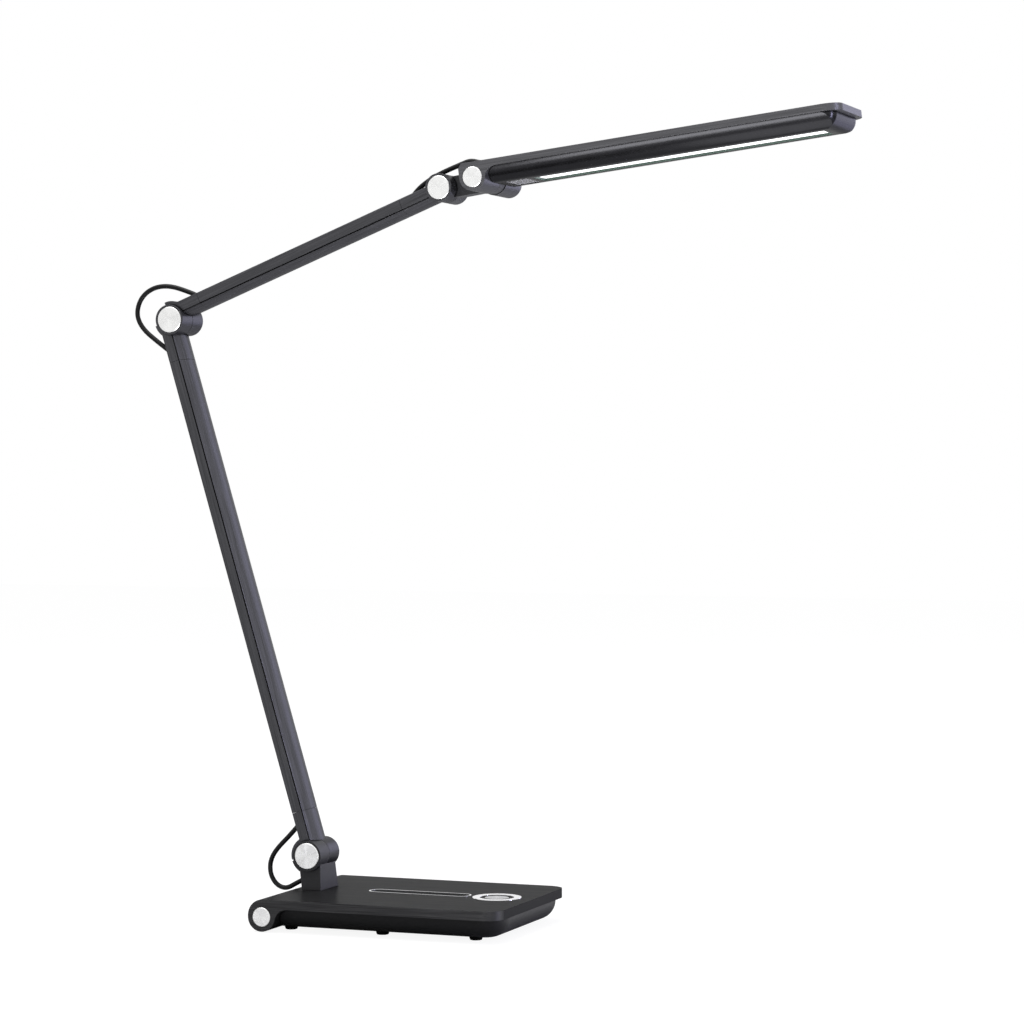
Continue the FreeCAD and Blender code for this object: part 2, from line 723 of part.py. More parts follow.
def base_fittings():
    feet = []
    for i, (x, y) in enumerate(foot_places()):
        foot = doc.addObject("Part::Cone", f"foot_{i}")
        bind(foot, Radius1="Sizes.foot_radius - Sizes.foot_taper", Radius2="Sizes.foot_radius",
             Height="Sizes.foot_height + Sizes.foot_socket")
        foot.Placement = at(x, y)
        feet.append(foot)
    keep("rubber_feet", group("rubber_feet", *feet), base_pose)
    screws = []
    for i, (x, y) in enumerate(boss_places()):
        head = rod(f"tray_screw_head_{i}", "Sizes.screw_head_radius", "Sizes.screw_head_height",
                   (x, y, s.foot_height), axis="Z")
        shank = rod(f"tray_screw_shank_{i}", "Sizes.screw_radius",
                    "Sizes.base_top - Sizes.foot_height - Sizes.cover_thickness",
                    (x, y, s.foot_height), axis="Z")
        screws.append(fuse(f"tray_screw_{i}", head, shank))
    keep("tray_screws", group("tray_screws", *screws), base_pose)
    ballast = doc.addObject("Part::Box", "base_ballast")
    length = min(s.ballast_length, 2 * (half_base - s.ballast_margin))
    between_bosses = s.base_width - 2 * (s.boss_spread + s.boss_radius + s.ballast_gap)
    width = min(s.ballast_width, between_bosses)
    ballast.Length = length
    ballast.Width = width
    bind(ballast, Height="Sizes.ballast_thickness")
    keep("base_ballast", ballast, base_pose * at(s.foot_shift - length / 2, -width / 2,
                                                 s.foot_height + s.tray_floor))


def slider():
    """Touch strip for the brightness, in a thin bright rim."""
    top = "Sizes.base_top + Sizes.trim_proud"
    floor = "Sizes.base_top - Sizes.slider_depth"
    rim = new_body("slider_rim")
    upward(rim, stadium(slider_run - 2 * s.press_gap, s.slider_width - 2 * s.press_gap, slider_x), floor, top)
    inner_length = slider_run - 2 * s.slider_rim
    inner_width = s.slider_width - 2 * s.slider_rim
    upward(rim, stadium(inner_length, inner_width, slider_x), floor, top, True)
    keep("slider_rim", rim, base_pose)
    strip = new_body("slider_strip")
    upward(strip, stadium(inner_length - 2 * s.press_gap, inner_width - 2 * s.press_gap, slider_x),
           floor, "Sizes.base_top - Sizes.trim_proud")
    keep("slider_strip", strip, base_pose)


def power_control():
    """Bright ring, key, switch and board."""
    top = s.base_top
    under = top - s.cover_thickness
    ring = rod("ring_disc", "Sizes.ring_radius", "Sizes.ring_depth + Sizes.trim_proud",
               (key_x, 0, top - s.ring_depth), axis="Z")
    bore = rod("ring_bore", "Sizes.ring_bore", "Sizes.base_top", (key_x, 0, 0), axis="Z")
    keep("key_ring", cut("key_ring", ring, bore), base_pose)
    key_low = under + s.switch_height + s.switch_gap
    cap = rod("key_cap", "Sizes.key_radius", f"{top - s.key_recess - key_low}",
              (key_x, 0, key_low), axis="Z")
    flange = rod("key_flange", "Sizes.key_radius + Sizes.key_flange", "Sizes.key_flange_height",
                 (key_x, 0, key_low), axis="Z")
    keep("power_key", fuse("power_key", cap, flange), base_pose)
    board = doc.addObject("Part::Box", "control_board")
    start = slider_x - slider_run / 2
    bind(board, Width="Sizes.board_width", Height="Sizes.board_thickness")
    board.Length = key_x + s.ring_radius - s.board_margin - start
    keep("control_board", board, base_pose * at(start, -s.board_width / 2, under - s.board_thickness))
    block = doc.addObject("Part::Box", "tact_switch")
    bind(block, Length="Sizes.switch_width", Width="Sizes.switch_width", Height="Sizes.switch_height")
    keep("tact_switch", block, base_pose * at(key_x - s.switch_width / 2, -s.switch_width / 2, under))


def dc_jack():
    """Round power inlet with its centre pin, in the back of the rolled edge."""
    z = s.roll_lift + s.roll_radius
    face = s.jack_set_back - half_base
    shell = rod("jack_shell", "Sizes.jack_radius", "Sizes.jack_length", (face, s.jack_place, z), axis="X")
    bore = rod("jack_bore", "Sizes.jack_bore", "Sizes.jack_bore_depth", (face, s.jack_place, z), axis="X")
    pin = rod("jack_pin", "Sizes.jack_pin_radius", "Sizes.jack_length", (face, s.jack_place, z), axis="X")
    keep("dc_jack", fuse("dc_jack", cut("jack_cup", shell, bore), pin), base_pose)


def hinge_post():
    """Post on the base with the near half of the lower hinge, its saddle and its rear lip."""
    body = new_body("hinge_post_body")
    foot = -s.post_height
    slope = math.tan(math.radians(s.post_back_slope))
    waist = -s.post_waist
    back = s.post_rear + slope * (waist - foot)
    half = s.arm_width / 2
    spread = half + s.post_side_flare
    sole = new_sketch(body, "XY_Plane")
    sole.AttachmentOffset = at(z=foot)
    rectangle(-s.post_rear, s.post_front + s.post_flare, -spread, spread)(sole)
    collar = new_sketch(body, "XY_Plane")
    collar.AttachmentOffset = at(z=waist)
    rectangle(-back, s.post_front, -half, half)(collar)
    flared = body.newObject("PartDesign::AdditiveLoft", "Flare")
    flared.Profile = sole
    flared.Sections = [collar]
    across(body, lip_sector(s.post_lip_start, s.post_lip_end), NEAR_SIDE, FAR_SIDE)
    near_half(body, "Sizes.hinge_core")
    body.Placement = post_pose
    hole = cable_hole("post_cable_hole", BASE_LOOP, post_pose.Base, from_start=False)
    seat = s.base_top - s.cover_thickness + s.post_screw_sink
    threads = []
    screws = []
    for i, (x, y) in enumerate(post_screw_places()):
        threads.append(rod(f"post_thread_{i}", "Sizes.post_screw_radius + Sizes.press_gap",
                           "Sizes.post_screw_depth", (x, y, s.base_top), base_pose, "Z"))
        shank = rod(f"post_screw_shank_{i}", "Sizes.post_screw_radius",
                    "Sizes.post_screw_depth + Sizes.cover_thickness - Sizes.post_screw_sink",
                    (x, y, seat), axis="Z")
        head = rod(f"post_screw_head_{i}", "Sizes.post_screw_head", "Sizes.screw_head_height",
                   (x, y, seat - s.screw_head_height), axis="Z")
        screws.append(fuse(f"post_screw_{i}", shank, head))
    keep("hinge_post", cut("hinge_post", body, hole, *threads))
    keep("post_screws", group("post_screws", *screws), base_pose)


# Arm assemblies

def lower_arm():
    straight = s.lower_reach - s.knuckle_length - s.elbow_knuckle
    lean = lean_of(s.lower_rear_start, s.lower_rear_end, straight)
    foot = knuckle("lower_foot_body", 1, s.knuckle_length, s.lower_rear_start, lean, far_half,
                   "Sizes.hinge_core", (s.lower_lip_start, s.lower_lip_end))
    foot.Placement = lower_pose
    hole = cable_hole("lower_foot_hole", BASE_LOOP, lower_pose.Base)
    keep("lower_arm_base_knuckle", cut("lower_arm_base_knuckle", foot, hole))
    head = knuckle("lower_head_body", -1, s.elbow_knuckle, s.lower_rear_end, lean, near_half,
                   "Sizes.hinge_core", (s.elbow_lip_start, s.elbow_lip_end))
    head.Placement = elbow_pose
    hole = cable_hole("lower_head_hole", ELBOW_LOOP, elbow_pose.Base)
    keep("lower_arm_elbow_knuckle", cut("lower_arm_elbow_knuckle", head, hole))
    arm_tube("lower_arm", lower_pose, s.knuckle_length, s.lower_rear_start, s.lower_rear_end, straight)


def upper_arm():
    straight = s.upper_reach - s.short_knuckle - s.knuckle_length
    lean = lean_of(s.upper_rear_start, s.upper_rear_end, straight)
    foot = knuckle("upper_foot_body", 1, s.short_knuckle, s.upper_rear_start, lean, far_half,
                   "Sizes.hinge_core", (s.upper_lip_start, s.upper_lip_end))
    foot.Placement = upper_pose
    hole = cable_hole("upper_foot_hole", ELBOW_LOOP, upper_pose.Base, False, s.cable_long_drill)
    keep("upper_arm_elbow_knuckle", cut("upper_arm_elbow_knuckle", foot, hole))
    head = knuckle("upper_head_body", -1, s.knuckle_length, s.upper_rear_end, lean, near_half,
                   "Sizes.wrist_core")
    head.Placement = wrist_pose
    hole = cable_hole("upper_head_hole", WRIST_REAR, wrist_pose.Base)
    keep("upper_arm_wrist_knuckle", cut("upper_arm_wrist_knuckle", head, hole))
    arm_tube("upper_arm", upper_pose, s.short_knuckle, s.upper_rear_start, s.upper_rear_end, straight)


def wrist_link():
    """Short link: far half of the wrist hinge, and the middle knuckle of the head hinge."""
    body = new_body("wrist_link")
    over = math.sqrt(s.tilt_core ** 2 - s.link_over ** 2)
    under = math.sqrt(s.tilt_core ** 2 - s.link_under ** 2)
    across(body, outline((0.0, -s.link_under), (s.link_reach - under, -s.link_under),
                         ((s.link_reach + s.tilt_core, 0.0), (s.link_reach - over, s.link_over)),
                         (0.0, s.link_over)), "-Sizes.link_width / 2", "Sizes.link_width / 2")
    far_half(body, "Sizes.wrist_core")
    across(body, circle("Sizes.tilt_pin_radius + Sizes.running_gap", s.link_reach), NEAR_SIDE, FAR_SIDE, True)
    keep("wrist_link", body, link_pose)


# Head

SLOT_HALF = "(Sizes.link_width / 2 + Sizes.tilt_washer)"


def head_cover():
    """Plate rolled at the rear into a barrel, with a slot in it for the link."""
    body = new_body("head_cover_body")
    under = s.plate_top - s.plate_thickness
    centre_z = under - s.head_fillet
    joint = s.head_roll + s.head_fillet
    centre_x = math.sqrt(joint ** 2 - centre_z ** 2)
    share = s.head_roll / joint
    meet = (share * centre_x, share * centre_z)
    hollow = polar(s.head_fillet, 130)
    across(body, outline((s.head_length, s.plate_top), (s.head_nose_run - s.head_roll, s.plate_top),
                         (-s.head_roll, s.plate_top - s.head_nose_drop), (-s.head_roll, 0.0),
                         (polar(s.head_roll, 260), meet),
                         ((centre_x + hollow[0], centre_z + hollow[1]), (centre_x, under)),
                         (s.head_length, under)),
           "-Sizes.head_width / 2", "Sizes.head_width / 2")
    round_edges(body, "Sizes.head_corner", upright_at(s.head_length, s.head_width / 2))
    sweep = s.tilt_core + s.hinge_gap
    open_above = math.sqrt(sweep ** 2 - s.slot_mouth ** 2)
    open_ahead = math.sqrt(sweep ** 2 - s.slot_floor ** 2)
    far_out = 2 * s.head_roll
    slot = outline((-far_out, far_out), (-s.slot_mouth, far_out), (-s.slot_mouth, open_above),
                   ((0.0, sweep), (open_ahead, s.slot_floor)), (far_out, s.slot_floor),
                   (far_out, -far_out), (-far_out, -far_out))
    across(body, slot, f"-{SLOT_HALF}", SLOT_HALF, True)
    half = "Sizes.head_width / 2"
    for low, high in ((f"-{half}", f"Sizes.cap_depth - {half}"), (f"{half} - Sizes.cap_depth", half)):
        across(body, circle("Sizes.head_roll_cap + Sizes.press_gap"), low, high, True)
    across(body, circle("Sizes.tilt_pin_radius + Sizes.press_gap"), f"-{half}", half, True)
    body.Placement = head_pose
    hole = cable_hole("head_cable_hole", WRIST_FRONT[:-1], wrist_pose.Base, from_start=False)
    outlet = cable_hole("head_cable_outlet", WRIST_FRONT, wrist_pose.Base, from_start=False)
    keep("head_top_cover", cut("head_top_cover", body, hole, outlet))
    return centre_x, centre_z


def head_hinge():
    half = s.head_width / 2
    pin = rod("head_pin", "Sizes.tilt_pin_radius", "Sizes.head_width - 2 * Sizes.cap_depth",
              (0, s.cap_depth - half, 0))
    keep("head_hinge_pin", pin, head_pose * pin.Placement)
    inner = s.link_width / 2
    washers = []
    for side, start in (("near", -inner - s.tilt_washer), ("far", inner)):
        disc = rod(f"head_washer_disc_{side}", "Sizes.tilt_washer_radius", "Sizes.tilt_washer", (0, start, 0))
        bore = rod(f"head_washer_bore_{side}", "Sizes.tilt_pin_radius + Sizes.running_gap",
                   "Sizes.head_width", (0, -half, 0))
        washers.append(cut(f"head_washer_{side}", disc, bore))
    keep("head_hinge_washers", group("head_hinge_washers", *washers), head_pose)
    caps = [rod(f"head_cap_{side}", "Sizes.head_roll_cap", "Sizes.cap_depth + Sizes.cap_proud", (0, start, 0))
            for side, start in (("near", -half - s.cap_proud), ("far", half - s.cap_depth))]
    keep("head_end_caps", group("head_end_caps", *caps), head_pose)


def housing_flat():
    """Half width of the housing's flat bottom, between its bent sides."""
    run = math.sqrt(s.housing_bend ** 2 - (s.housing_bend - s.housing_depth) ** 2)
    return s.head_width / 2 - s.housing_inset - run


def housing_block(name, inset, rear, end):
    """A block with rounded front corners, whose front rounds under and whose sides bend in."""
    body = new_body(name)
    top = s.plate_top - s.plate_thickness
    bottom = top - s.housing_depth + inset
    half = s.head_width / 2 - s.housing_inset - inset
    corner = s.housing_corner - inset
    side = half - corner
    bow = polar(corner, 45)
    bend_x = end - corner + bow[0]
    bend_y = side + bow[1]
    plan = outline((rear, -half), (end - corner, -half), ((bend_x, -bend_y), (end, -side)), (end, side),
                   ((bend_x, bend_y), (end - corner, half)), (rear, half))
    upward(body, plan, f"{bottom}", f"{top}")

    def lower_edge(edge):
        box = edge.BoundBox
        return box.ZMax < bottom + 1e-3 and box.XMax > rear + 1

    round_edges(body, f"Sizes.housing_round - {inset}", lower_edge)
    flat = housing_flat()
    bend = s.housing_bend - inset
    lift = s.housing_bend - s.housing_depth
    brow = math.sqrt(bend ** 2 - lift ** 2)
    slant = polar(bend, -(90 + math.degrees(math.atan2(lift, brow))) / 2)
    below = bottom - s.housing_wall
    clear = s.head_width
    for hand in (-1, 1):
        along(body, outline((hand * (flat + brow), top),
                            ((hand * (flat + slant[0]), bottom + bend + slant[1]), (hand * flat, bottom)),
                            (hand * flat, below), (hand * clear, below), (hand * clear, top)),
              f"{-s.head_length}", f"{2 * s.head_length}", True)
    return body


def window():
    """Length and half width of the window, clear of the housing's bent edges."""
    end = s.head_length - s.housing_end_inset
    run = min(s.window_length, end - s.window_margin - s.window_start)
    return run, min(s.window_width / 2, housing_flat() - s.window_rim)


def vent_half():
    return min(s.grille_width / 2, window()[1] + s.grille_overlap)


def head_housing(centre_x, centre_z):
    """Glossy tray under the plate, nested under the rolled edge, with a window and a vent."""
    top = s.plate_top - s.plate_thickness
    bottom = top - s.housing_depth
    nest = s.head_fillet - s.hinge_gap
    end = s.head_length - s.housing_end_inset
    body = housing_block("head_housing_body", 0.0, 0.0, end)
    low = -math.sqrt(nest ** 2 - (bottom - centre_z) ** 2)
    back = -2 * s.head_roll
    far_down = 2 * bottom
    knee = polar(nest, 140)
    shape_rear = outline((back, top + 1), (centre_x, top + 1), (centre_x, centre_z + nest),
                         ((centre_x + knee[0], centre_z + knee[1]), (centre_x - nest, centre_z)),
                         (centre_x + low, bottom), (centre_x + low, far_down), (back, far_down))
    across(body, shape_rear, "-Sizes.head_width", "Sizes.head_width", True)
    run, half = window()
    upward(body, rectangle(s.window_start, s.window_start + run, -half, half), f"{far_down}", "0", True)
    vent = vent_half()
    upward(body, rectangle(s.grille_start, s.grille_start + s.grille_length, -vent, vent),
           f"{far_down}", "0", True)
    cavity = housing_block("head_housing_cavity", s.housing_wall, centre_x, end - s.housing_end_wall)
    cavity.Placement = head_pose
    body.Placement = head_pose
    hole = cable_hole("housing_cable_hole", WRIST_FRONT, wrist_pose.Base, from_start=False)
    keep("head_housing", cut("head_housing", body, cavity, hole))
    return bottom


def head_light(bottom):
    """Diffuser in the window, LED board under the plate, and the vent's slotted insert."""
    top = s.plate_top - s.plate_thickness
    run, opening = window()
    end = s.window_start + run
    half = opening - s.fit_gap
    diffuser = new_body("diffuser")
    face = bottom + s.diffuser_recess
    shelf = bottom + s.housing_wall
    upward(diffuser, rectangle(s.window_start + s.fit_gap, end - s.fit_gap, -half, half),
           f"{face}", f"{shelf}")
    brim = half + s.diffuser_flange
    upward(diffuser, rectangle(s.window_start - s.grille_slot_width, end + s.diffuser_flange, -brim, brim),
           f"{shelf}", f"{shelf} + Sizes.diffuser_thickness")
    keep("diffuser", diffuser, head_pose)
    board = doc.addObject("Part::Box", "led_board")
    width = min(s.led_board_width, 2 * (opening - s.led_board_margin))
    board.Length = run
    board.Width = width
    bind(board, Height="Sizes.led_board_thickness")
    keep("led_board", board, head_pose * at(s.window_start, -width / 2, top - s.led_board_thickness))
    pitch = run / s.led_count
    leds = []
    for i in range(int(s.led_count)):
        led = doc.addObject("Part::Box", f"led_{i}")
        bind(led, Length="Sizes.led_size", Width="Sizes.led_size", Height="Sizes.led_height")
        led.Placement = at(s.window_start + (i + 0.5) * pitch - s.led_size / 2, -s.led_size / 2,
                           top - s.led_board_thickness - s.led_height)
        leds.append(led)
    keep("leds", group("leds", *leds), head_pose)
    grille = new_body("vent_grille")
    vent = vent_half() - s.fit_gap
    start = s.grille_start + s.fit_gap
    stop = s.grille_start + s.grille_length - s.fit_gap
    upward(grille, rectangle(start, stop, -vent, vent), f"{bottom} + Sizes.fit_gap",
           f"{bottom} + Sizes.fit_gap + Sizes.grille_thickness")
    step = (stop - start) / (s.grille_slots + 1)
    reach = vent - 2 * s.grille_thickness
    slot_half = s.grille_slot_width / 2
    for i in range(int(s.grille_slots)):
        middle = start + (i + 1) * step
        upward(grille, rectangle(middle - slot_half, middle + slot_half, -reach, reach),
               f"{2 * bottom}", "0", True)
    keep("vent_grille", grille, head_pose)


base_tray(*base_cover())
base_fittings()
slider()
power_control()
dc_jack()
hinge_post()
lower_arm()
upper_arm()
wrist_link()
hinge_hardware("base_hinge", "Sizes.hinge_core", post_pose)
hinge_hardware("elbow_hinge", "Sizes.hinge_core", elbow_pose)
hinge_hardware("wrist_hinge", "Sizes.wrist_core", wrist_pose)
head_light(head_housing(*head_cover()))
head_hinge()
cable("base_cable_loop", BASE_LOOP, post_pose.Base)
cable("elbow_cable_loop", ELBOW_LOOP, elbow_pose.Base)
cable("wrist_cable_rear", WRIST_REAR, wrist_pose.Base)
cable("wrist_cable_front", WRIST_FRONT, wrist_pose.Base)

doc.recompute()
for thing in doc.Objects:
    if "Invalid" in thing.State or "Error" in thing.State:
        raise RuntimeError(f"{thing.Label} failed: {thing.State}")
os.makedirs("parts", exist_ok=True)
for label, thing in nodes.items():
    if thing.Shape.isNull() or not thing.Shape.isValid():
        raise RuntimeError(f"{label} has no valid shape")
    thing.Shape.exportStep(f"parts/{label}.step")
    print(label, "solids", len(thing.Shape.Solids), "volume %.1f" % thing.Shape.Volume)
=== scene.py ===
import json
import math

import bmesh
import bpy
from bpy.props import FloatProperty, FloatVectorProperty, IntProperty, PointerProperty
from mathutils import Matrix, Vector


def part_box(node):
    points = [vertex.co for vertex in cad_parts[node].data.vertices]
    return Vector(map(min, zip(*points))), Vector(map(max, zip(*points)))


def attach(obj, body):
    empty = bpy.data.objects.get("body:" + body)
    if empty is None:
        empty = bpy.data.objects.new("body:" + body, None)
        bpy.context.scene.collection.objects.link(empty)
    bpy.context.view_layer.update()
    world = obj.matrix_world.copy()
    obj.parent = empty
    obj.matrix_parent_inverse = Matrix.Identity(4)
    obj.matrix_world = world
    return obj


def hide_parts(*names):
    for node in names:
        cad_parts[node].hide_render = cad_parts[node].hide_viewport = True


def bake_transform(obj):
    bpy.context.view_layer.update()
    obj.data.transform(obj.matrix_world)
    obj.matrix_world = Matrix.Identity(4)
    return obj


bl_info = {
    "name": "LED desk lamp",
    "version": (1, 0, 0),
    "blender": (4, 5, 0),
    "location": "View3D > Sidebar > Desk Lamp",
    "description": "Dresses the CAD model of a folding LED desk lamp and sets its studio",
    "category": "Object",
}

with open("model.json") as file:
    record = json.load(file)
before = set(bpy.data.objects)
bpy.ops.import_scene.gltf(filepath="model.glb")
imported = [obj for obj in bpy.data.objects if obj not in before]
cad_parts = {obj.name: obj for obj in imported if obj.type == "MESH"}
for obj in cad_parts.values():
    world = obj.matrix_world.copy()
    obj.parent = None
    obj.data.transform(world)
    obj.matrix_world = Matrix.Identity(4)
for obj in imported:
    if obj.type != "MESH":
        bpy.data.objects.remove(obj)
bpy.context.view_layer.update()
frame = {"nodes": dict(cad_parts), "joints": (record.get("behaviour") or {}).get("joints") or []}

MM = 0.001
JOINTS = {joint["name"]: joint for joint in frame["joints"]}
FORWARD = Vector((1, 0, 0))
ALONG_Y = Vector((0, 1, 0))
UPRIGHT = Vector((0, 0, 1))
UNTURNED = (0.0, 0.0, 0.0)
UNSTRETCHED = (1.0, 1.0, 1.0)
WHITE = (1.0, 1.0, 1.0)

# Sockets of the Mix node, whose names repeat: its factor, its two numbers and its two colours, and where
# the mixed number and the mixed colour come out.
FACTOR, NUMBER_A, NUMBER_B, COLOUR_A, COLOUR_B = 0, 2, 3, 6, 7
NUMBER_OUT, COLOUR_OUT = 0, 2

# The routes of the cables in the lamp's middle plane, as (forward, up) in millimetres from a pivot.
BASE_LOOP = [(-5.5, 29.5), (-18.5, 14.4), (-31.2, 2.2), (-36.2, -6.2), (-36.6, -14.8), (-33.6, -21.4),
             (-28.6, -25.4), (-22.6, -26.0), (-15.5, -21.9), (-6.5, -17.4), (1.0, -14.5)]
ELBOW_LOOP = [(3.2, -30.1), (-6.5, -23.4), (-18.5, -14.8), (-28.6, -7.0), (-33.9, 1.0), (-34.5, 8.2),
              (-31.9, 15.5), (-26.6, 21.2), (-18.0, 25.0), (-6.5, 25.2), (8.0, 20.6), (18.5, 16.2),
              (23.2, 14.1)]
WRIST_REAR = [(-29.4, -8.5), (-23.4, -0.4), (-14.2, 6.3), (-5.0, 11.2), (4.4, 14.7)]
WRIST_FRONT = [(4.4, 14.7), (12.0, 17.53), (18.2, 19.6), (26.3, 17.4), (35.15, 17.8), (43.2, 13.65),
               (49.4, 8.25)]

# One cable piece per joint: its name, the CAD node it stands for, its route, the pivot's joint, the two
# bodies on either side of that joint, and how far a bend would reach past its ends, as a share of the span
# between them.
CABLES = [
    ("base_cable", "base_cable_loop", BASE_LOOP, "base_tilt", "lower_arm", "base", 0.0),
    ("elbow_cable", "elbow_cable_loop", ELBOW_LOOP, "elbow", "lower_arm", "upper_arm", 0.16),
    ("wrist_cable", "wrist_cable_rear", WRIST_REAR, "wrist", "upper_arm", "link", 0.0),
    ("head_cable", "wrist_cable_front", WRIST_FRONT, "wrist", "link", "head", 0.0),
]

# The spun caps: the CAD node, its body, and the sides it closes, -1 near and 1 far.
CAPS = [
    ("base_end_caps", "base", (-1, 1)),
    ("base_hinge_near_cap", "base", (-1,)),
    ("base_hinge_far_cap", "lower_arm", (1,)),
    ("elbow_hinge_near_cap", "lower_arm", (-1,)),
    ("elbow_hinge_far_cap", "upper_arm", (1,)),
    ("wrist_hinge_near_cap", "upper_arm", (-1,)),
    ("wrist_hinge_far_cap", "link", (1,)),
    ("head_end_caps", "head", (-1, 1)),
]

# The softboxes: the name, its power's setting, its width and height, its place and target in metres, and
# whether its light is cool.
SOFTBOXES = [
    ("top_softbox", "top_power", 1.6, 1.6, (-0.3, -0.3, 2.0), (0.0, 0.0, 0.3), False),
    ("side_strip", "side_power", 0.35, 0.85, (2.0, 0.05, 0.43), (0.0, 0.0, 0.35), True),
    ("back_panel", "back_power", 0.8, 1.2, (0.72, 1.95, 0.62), (0.2, 0.0, 0.5), True),
    ("low_panel", "low_power", 0.6, 0.2, (0.2, -0.36, 0.01), (0.2, -0.36, 1.0), False),
    ("far_panel", "far_power", 0.42, 0.6, (0.26, 0.25, 0.002), (0.26, 0.25, 1.0), False),
]


def linear(hex_code):
    """An sRGB hex colour as the linear values that Blender's sockets take."""
    channels = (int(hex_code[i:i + 2], 16) / 255 for i in (1, 3, 5))
    return tuple(c / 12.92 if c <= 0.04045 else ((c + 0.055) / 1.055) ** 2.4 for c in channels)


def opaque(colour):
    return (*colour, 1.0)


def per_metre(millimetres):
    """The scale of a pattern whose repeat has a real size."""
    return 1.0 / (millimetres * MM)


# Settings

class LampStageSettings(bpy.types.PropertyGroup):
    """Camera, floor and light."""
    camera_place: FloatVectorProperty(
        name="Camera", description="Where the camera stands", size=3, subtype="TRANSLATION", unit="LENGTH",
        default=(0.81109, -2.0808, 0.33745))
    camera_target: FloatVectorProperty(
        name="Target", description="What the camera looks at", size=3, subtype="TRANSLATION", unit="LENGTH",
        default=(0.01379, 0.0, 0.29468))
    lens: FloatProperty(name="Lens", description="Focal length", unit="CAMERA", default=111.74)
    floor_colour: FloatVectorProperty(
        name="Floor", description="Colour of the floor", size=3, subtype="COLOR", default=linear("#E6E6E6"))
    floor_lift: FloatProperty(
        name="Floor lift", description="Light that the camera sees on the floor besides the lamps'",
        default=0.9, min=0)
    sky_level: FloatProperty(
        name="Sky level", description="How much the surroundings light matt surfaces", default=0.42, min=0)
    top_power: FloatProperty(
        name="Top light", description="Power of the softbox overhead", unit="POWER", default=24.0)
    side_power: FloatProperty(
        name="Side light", description="Power of the strip light on the right", unit="POWER", default=20.0)
    back_power: FloatProperty(
        name="Back light", description="Power of the panel behind on the right", unit="POWER", default=6.5)
    low_power: FloatProperty(
        name="Low light", description="Power of the panel on the floor before the head", unit="POWER",
        default=3.5)
    far_power: FloatProperty(
        name="Far light", description="Power of the panel on the floor behind the base", unit="POWER",
        default=1.3)
    cool_colour: FloatVectorProperty(
        name="Cool colour", description="Colour of the lights on the right", size=3, subtype="COLOR",
        default=linear("#DCDBFF"))


class LampFinishSettings(bpy.types.PropertyGroup):
    """Colours of the lamp's finishes."""
    plate: FloatVectorProperty(
        name="Base plate", description="Brushed plate of the base", size=3, subtype="COLOR",
        default=linear("#3C3C3D"))
    head_plate: FloatVectorProperty(
        name="Head plate", description="Brushed plate of the head", size=3, subtype="COLOR",
        default=linear("#5E5E61"))
    tube: FloatVectorProperty(
        name="Tubes", description="Brushed tubes and knuckles of the arms", size=3, subtype="COLOR",
        default=linear("#4C4C4F"))
    casting: FloatVectorProperty(
        name="Castings", description="Blasted post and link", size=3, subtype="COLOR",
        default=linear("#343436"))
    spun: FloatVectorProperty(
        name="Caps", description="Spun aluminium of the caps", size=3, subtype="COLOR",
        default=linear("#FAFAF9"))
    key: FloatVectorProperty(
        name="Key", description="Spun aluminium of the power key", size=3, subtype="COLOR",
        default=linear("#B4B5B7"))
    trim: FloatVectorProperty(
        name="Trim", description="Bright trim round the controls", size=3, subtype="COLOR",
        default=linear("#A9AFB8"))
    gunmetal: FloatVectorProperty(
        name="Gunmetal", description="Lacquer of the head's housing", size=3, subtype="COLOR",
        default=linear("#2E2E30"))
    tray_black: FloatVectorProperty(
        name="Tray black", description="Grained black plastic of the tray", size=3, subtype="COLOR",
        default=linear("#1D1D1E"))
    cable_black: FloatVectorProperty(
        name="Cable", description="Sheath of the cable", size=3, subtype="COLOR", default=linear("#121213"))
    glow: FloatProperty(name="Glow", description="Strength of the lit diffuser", default=1.0, min=0)


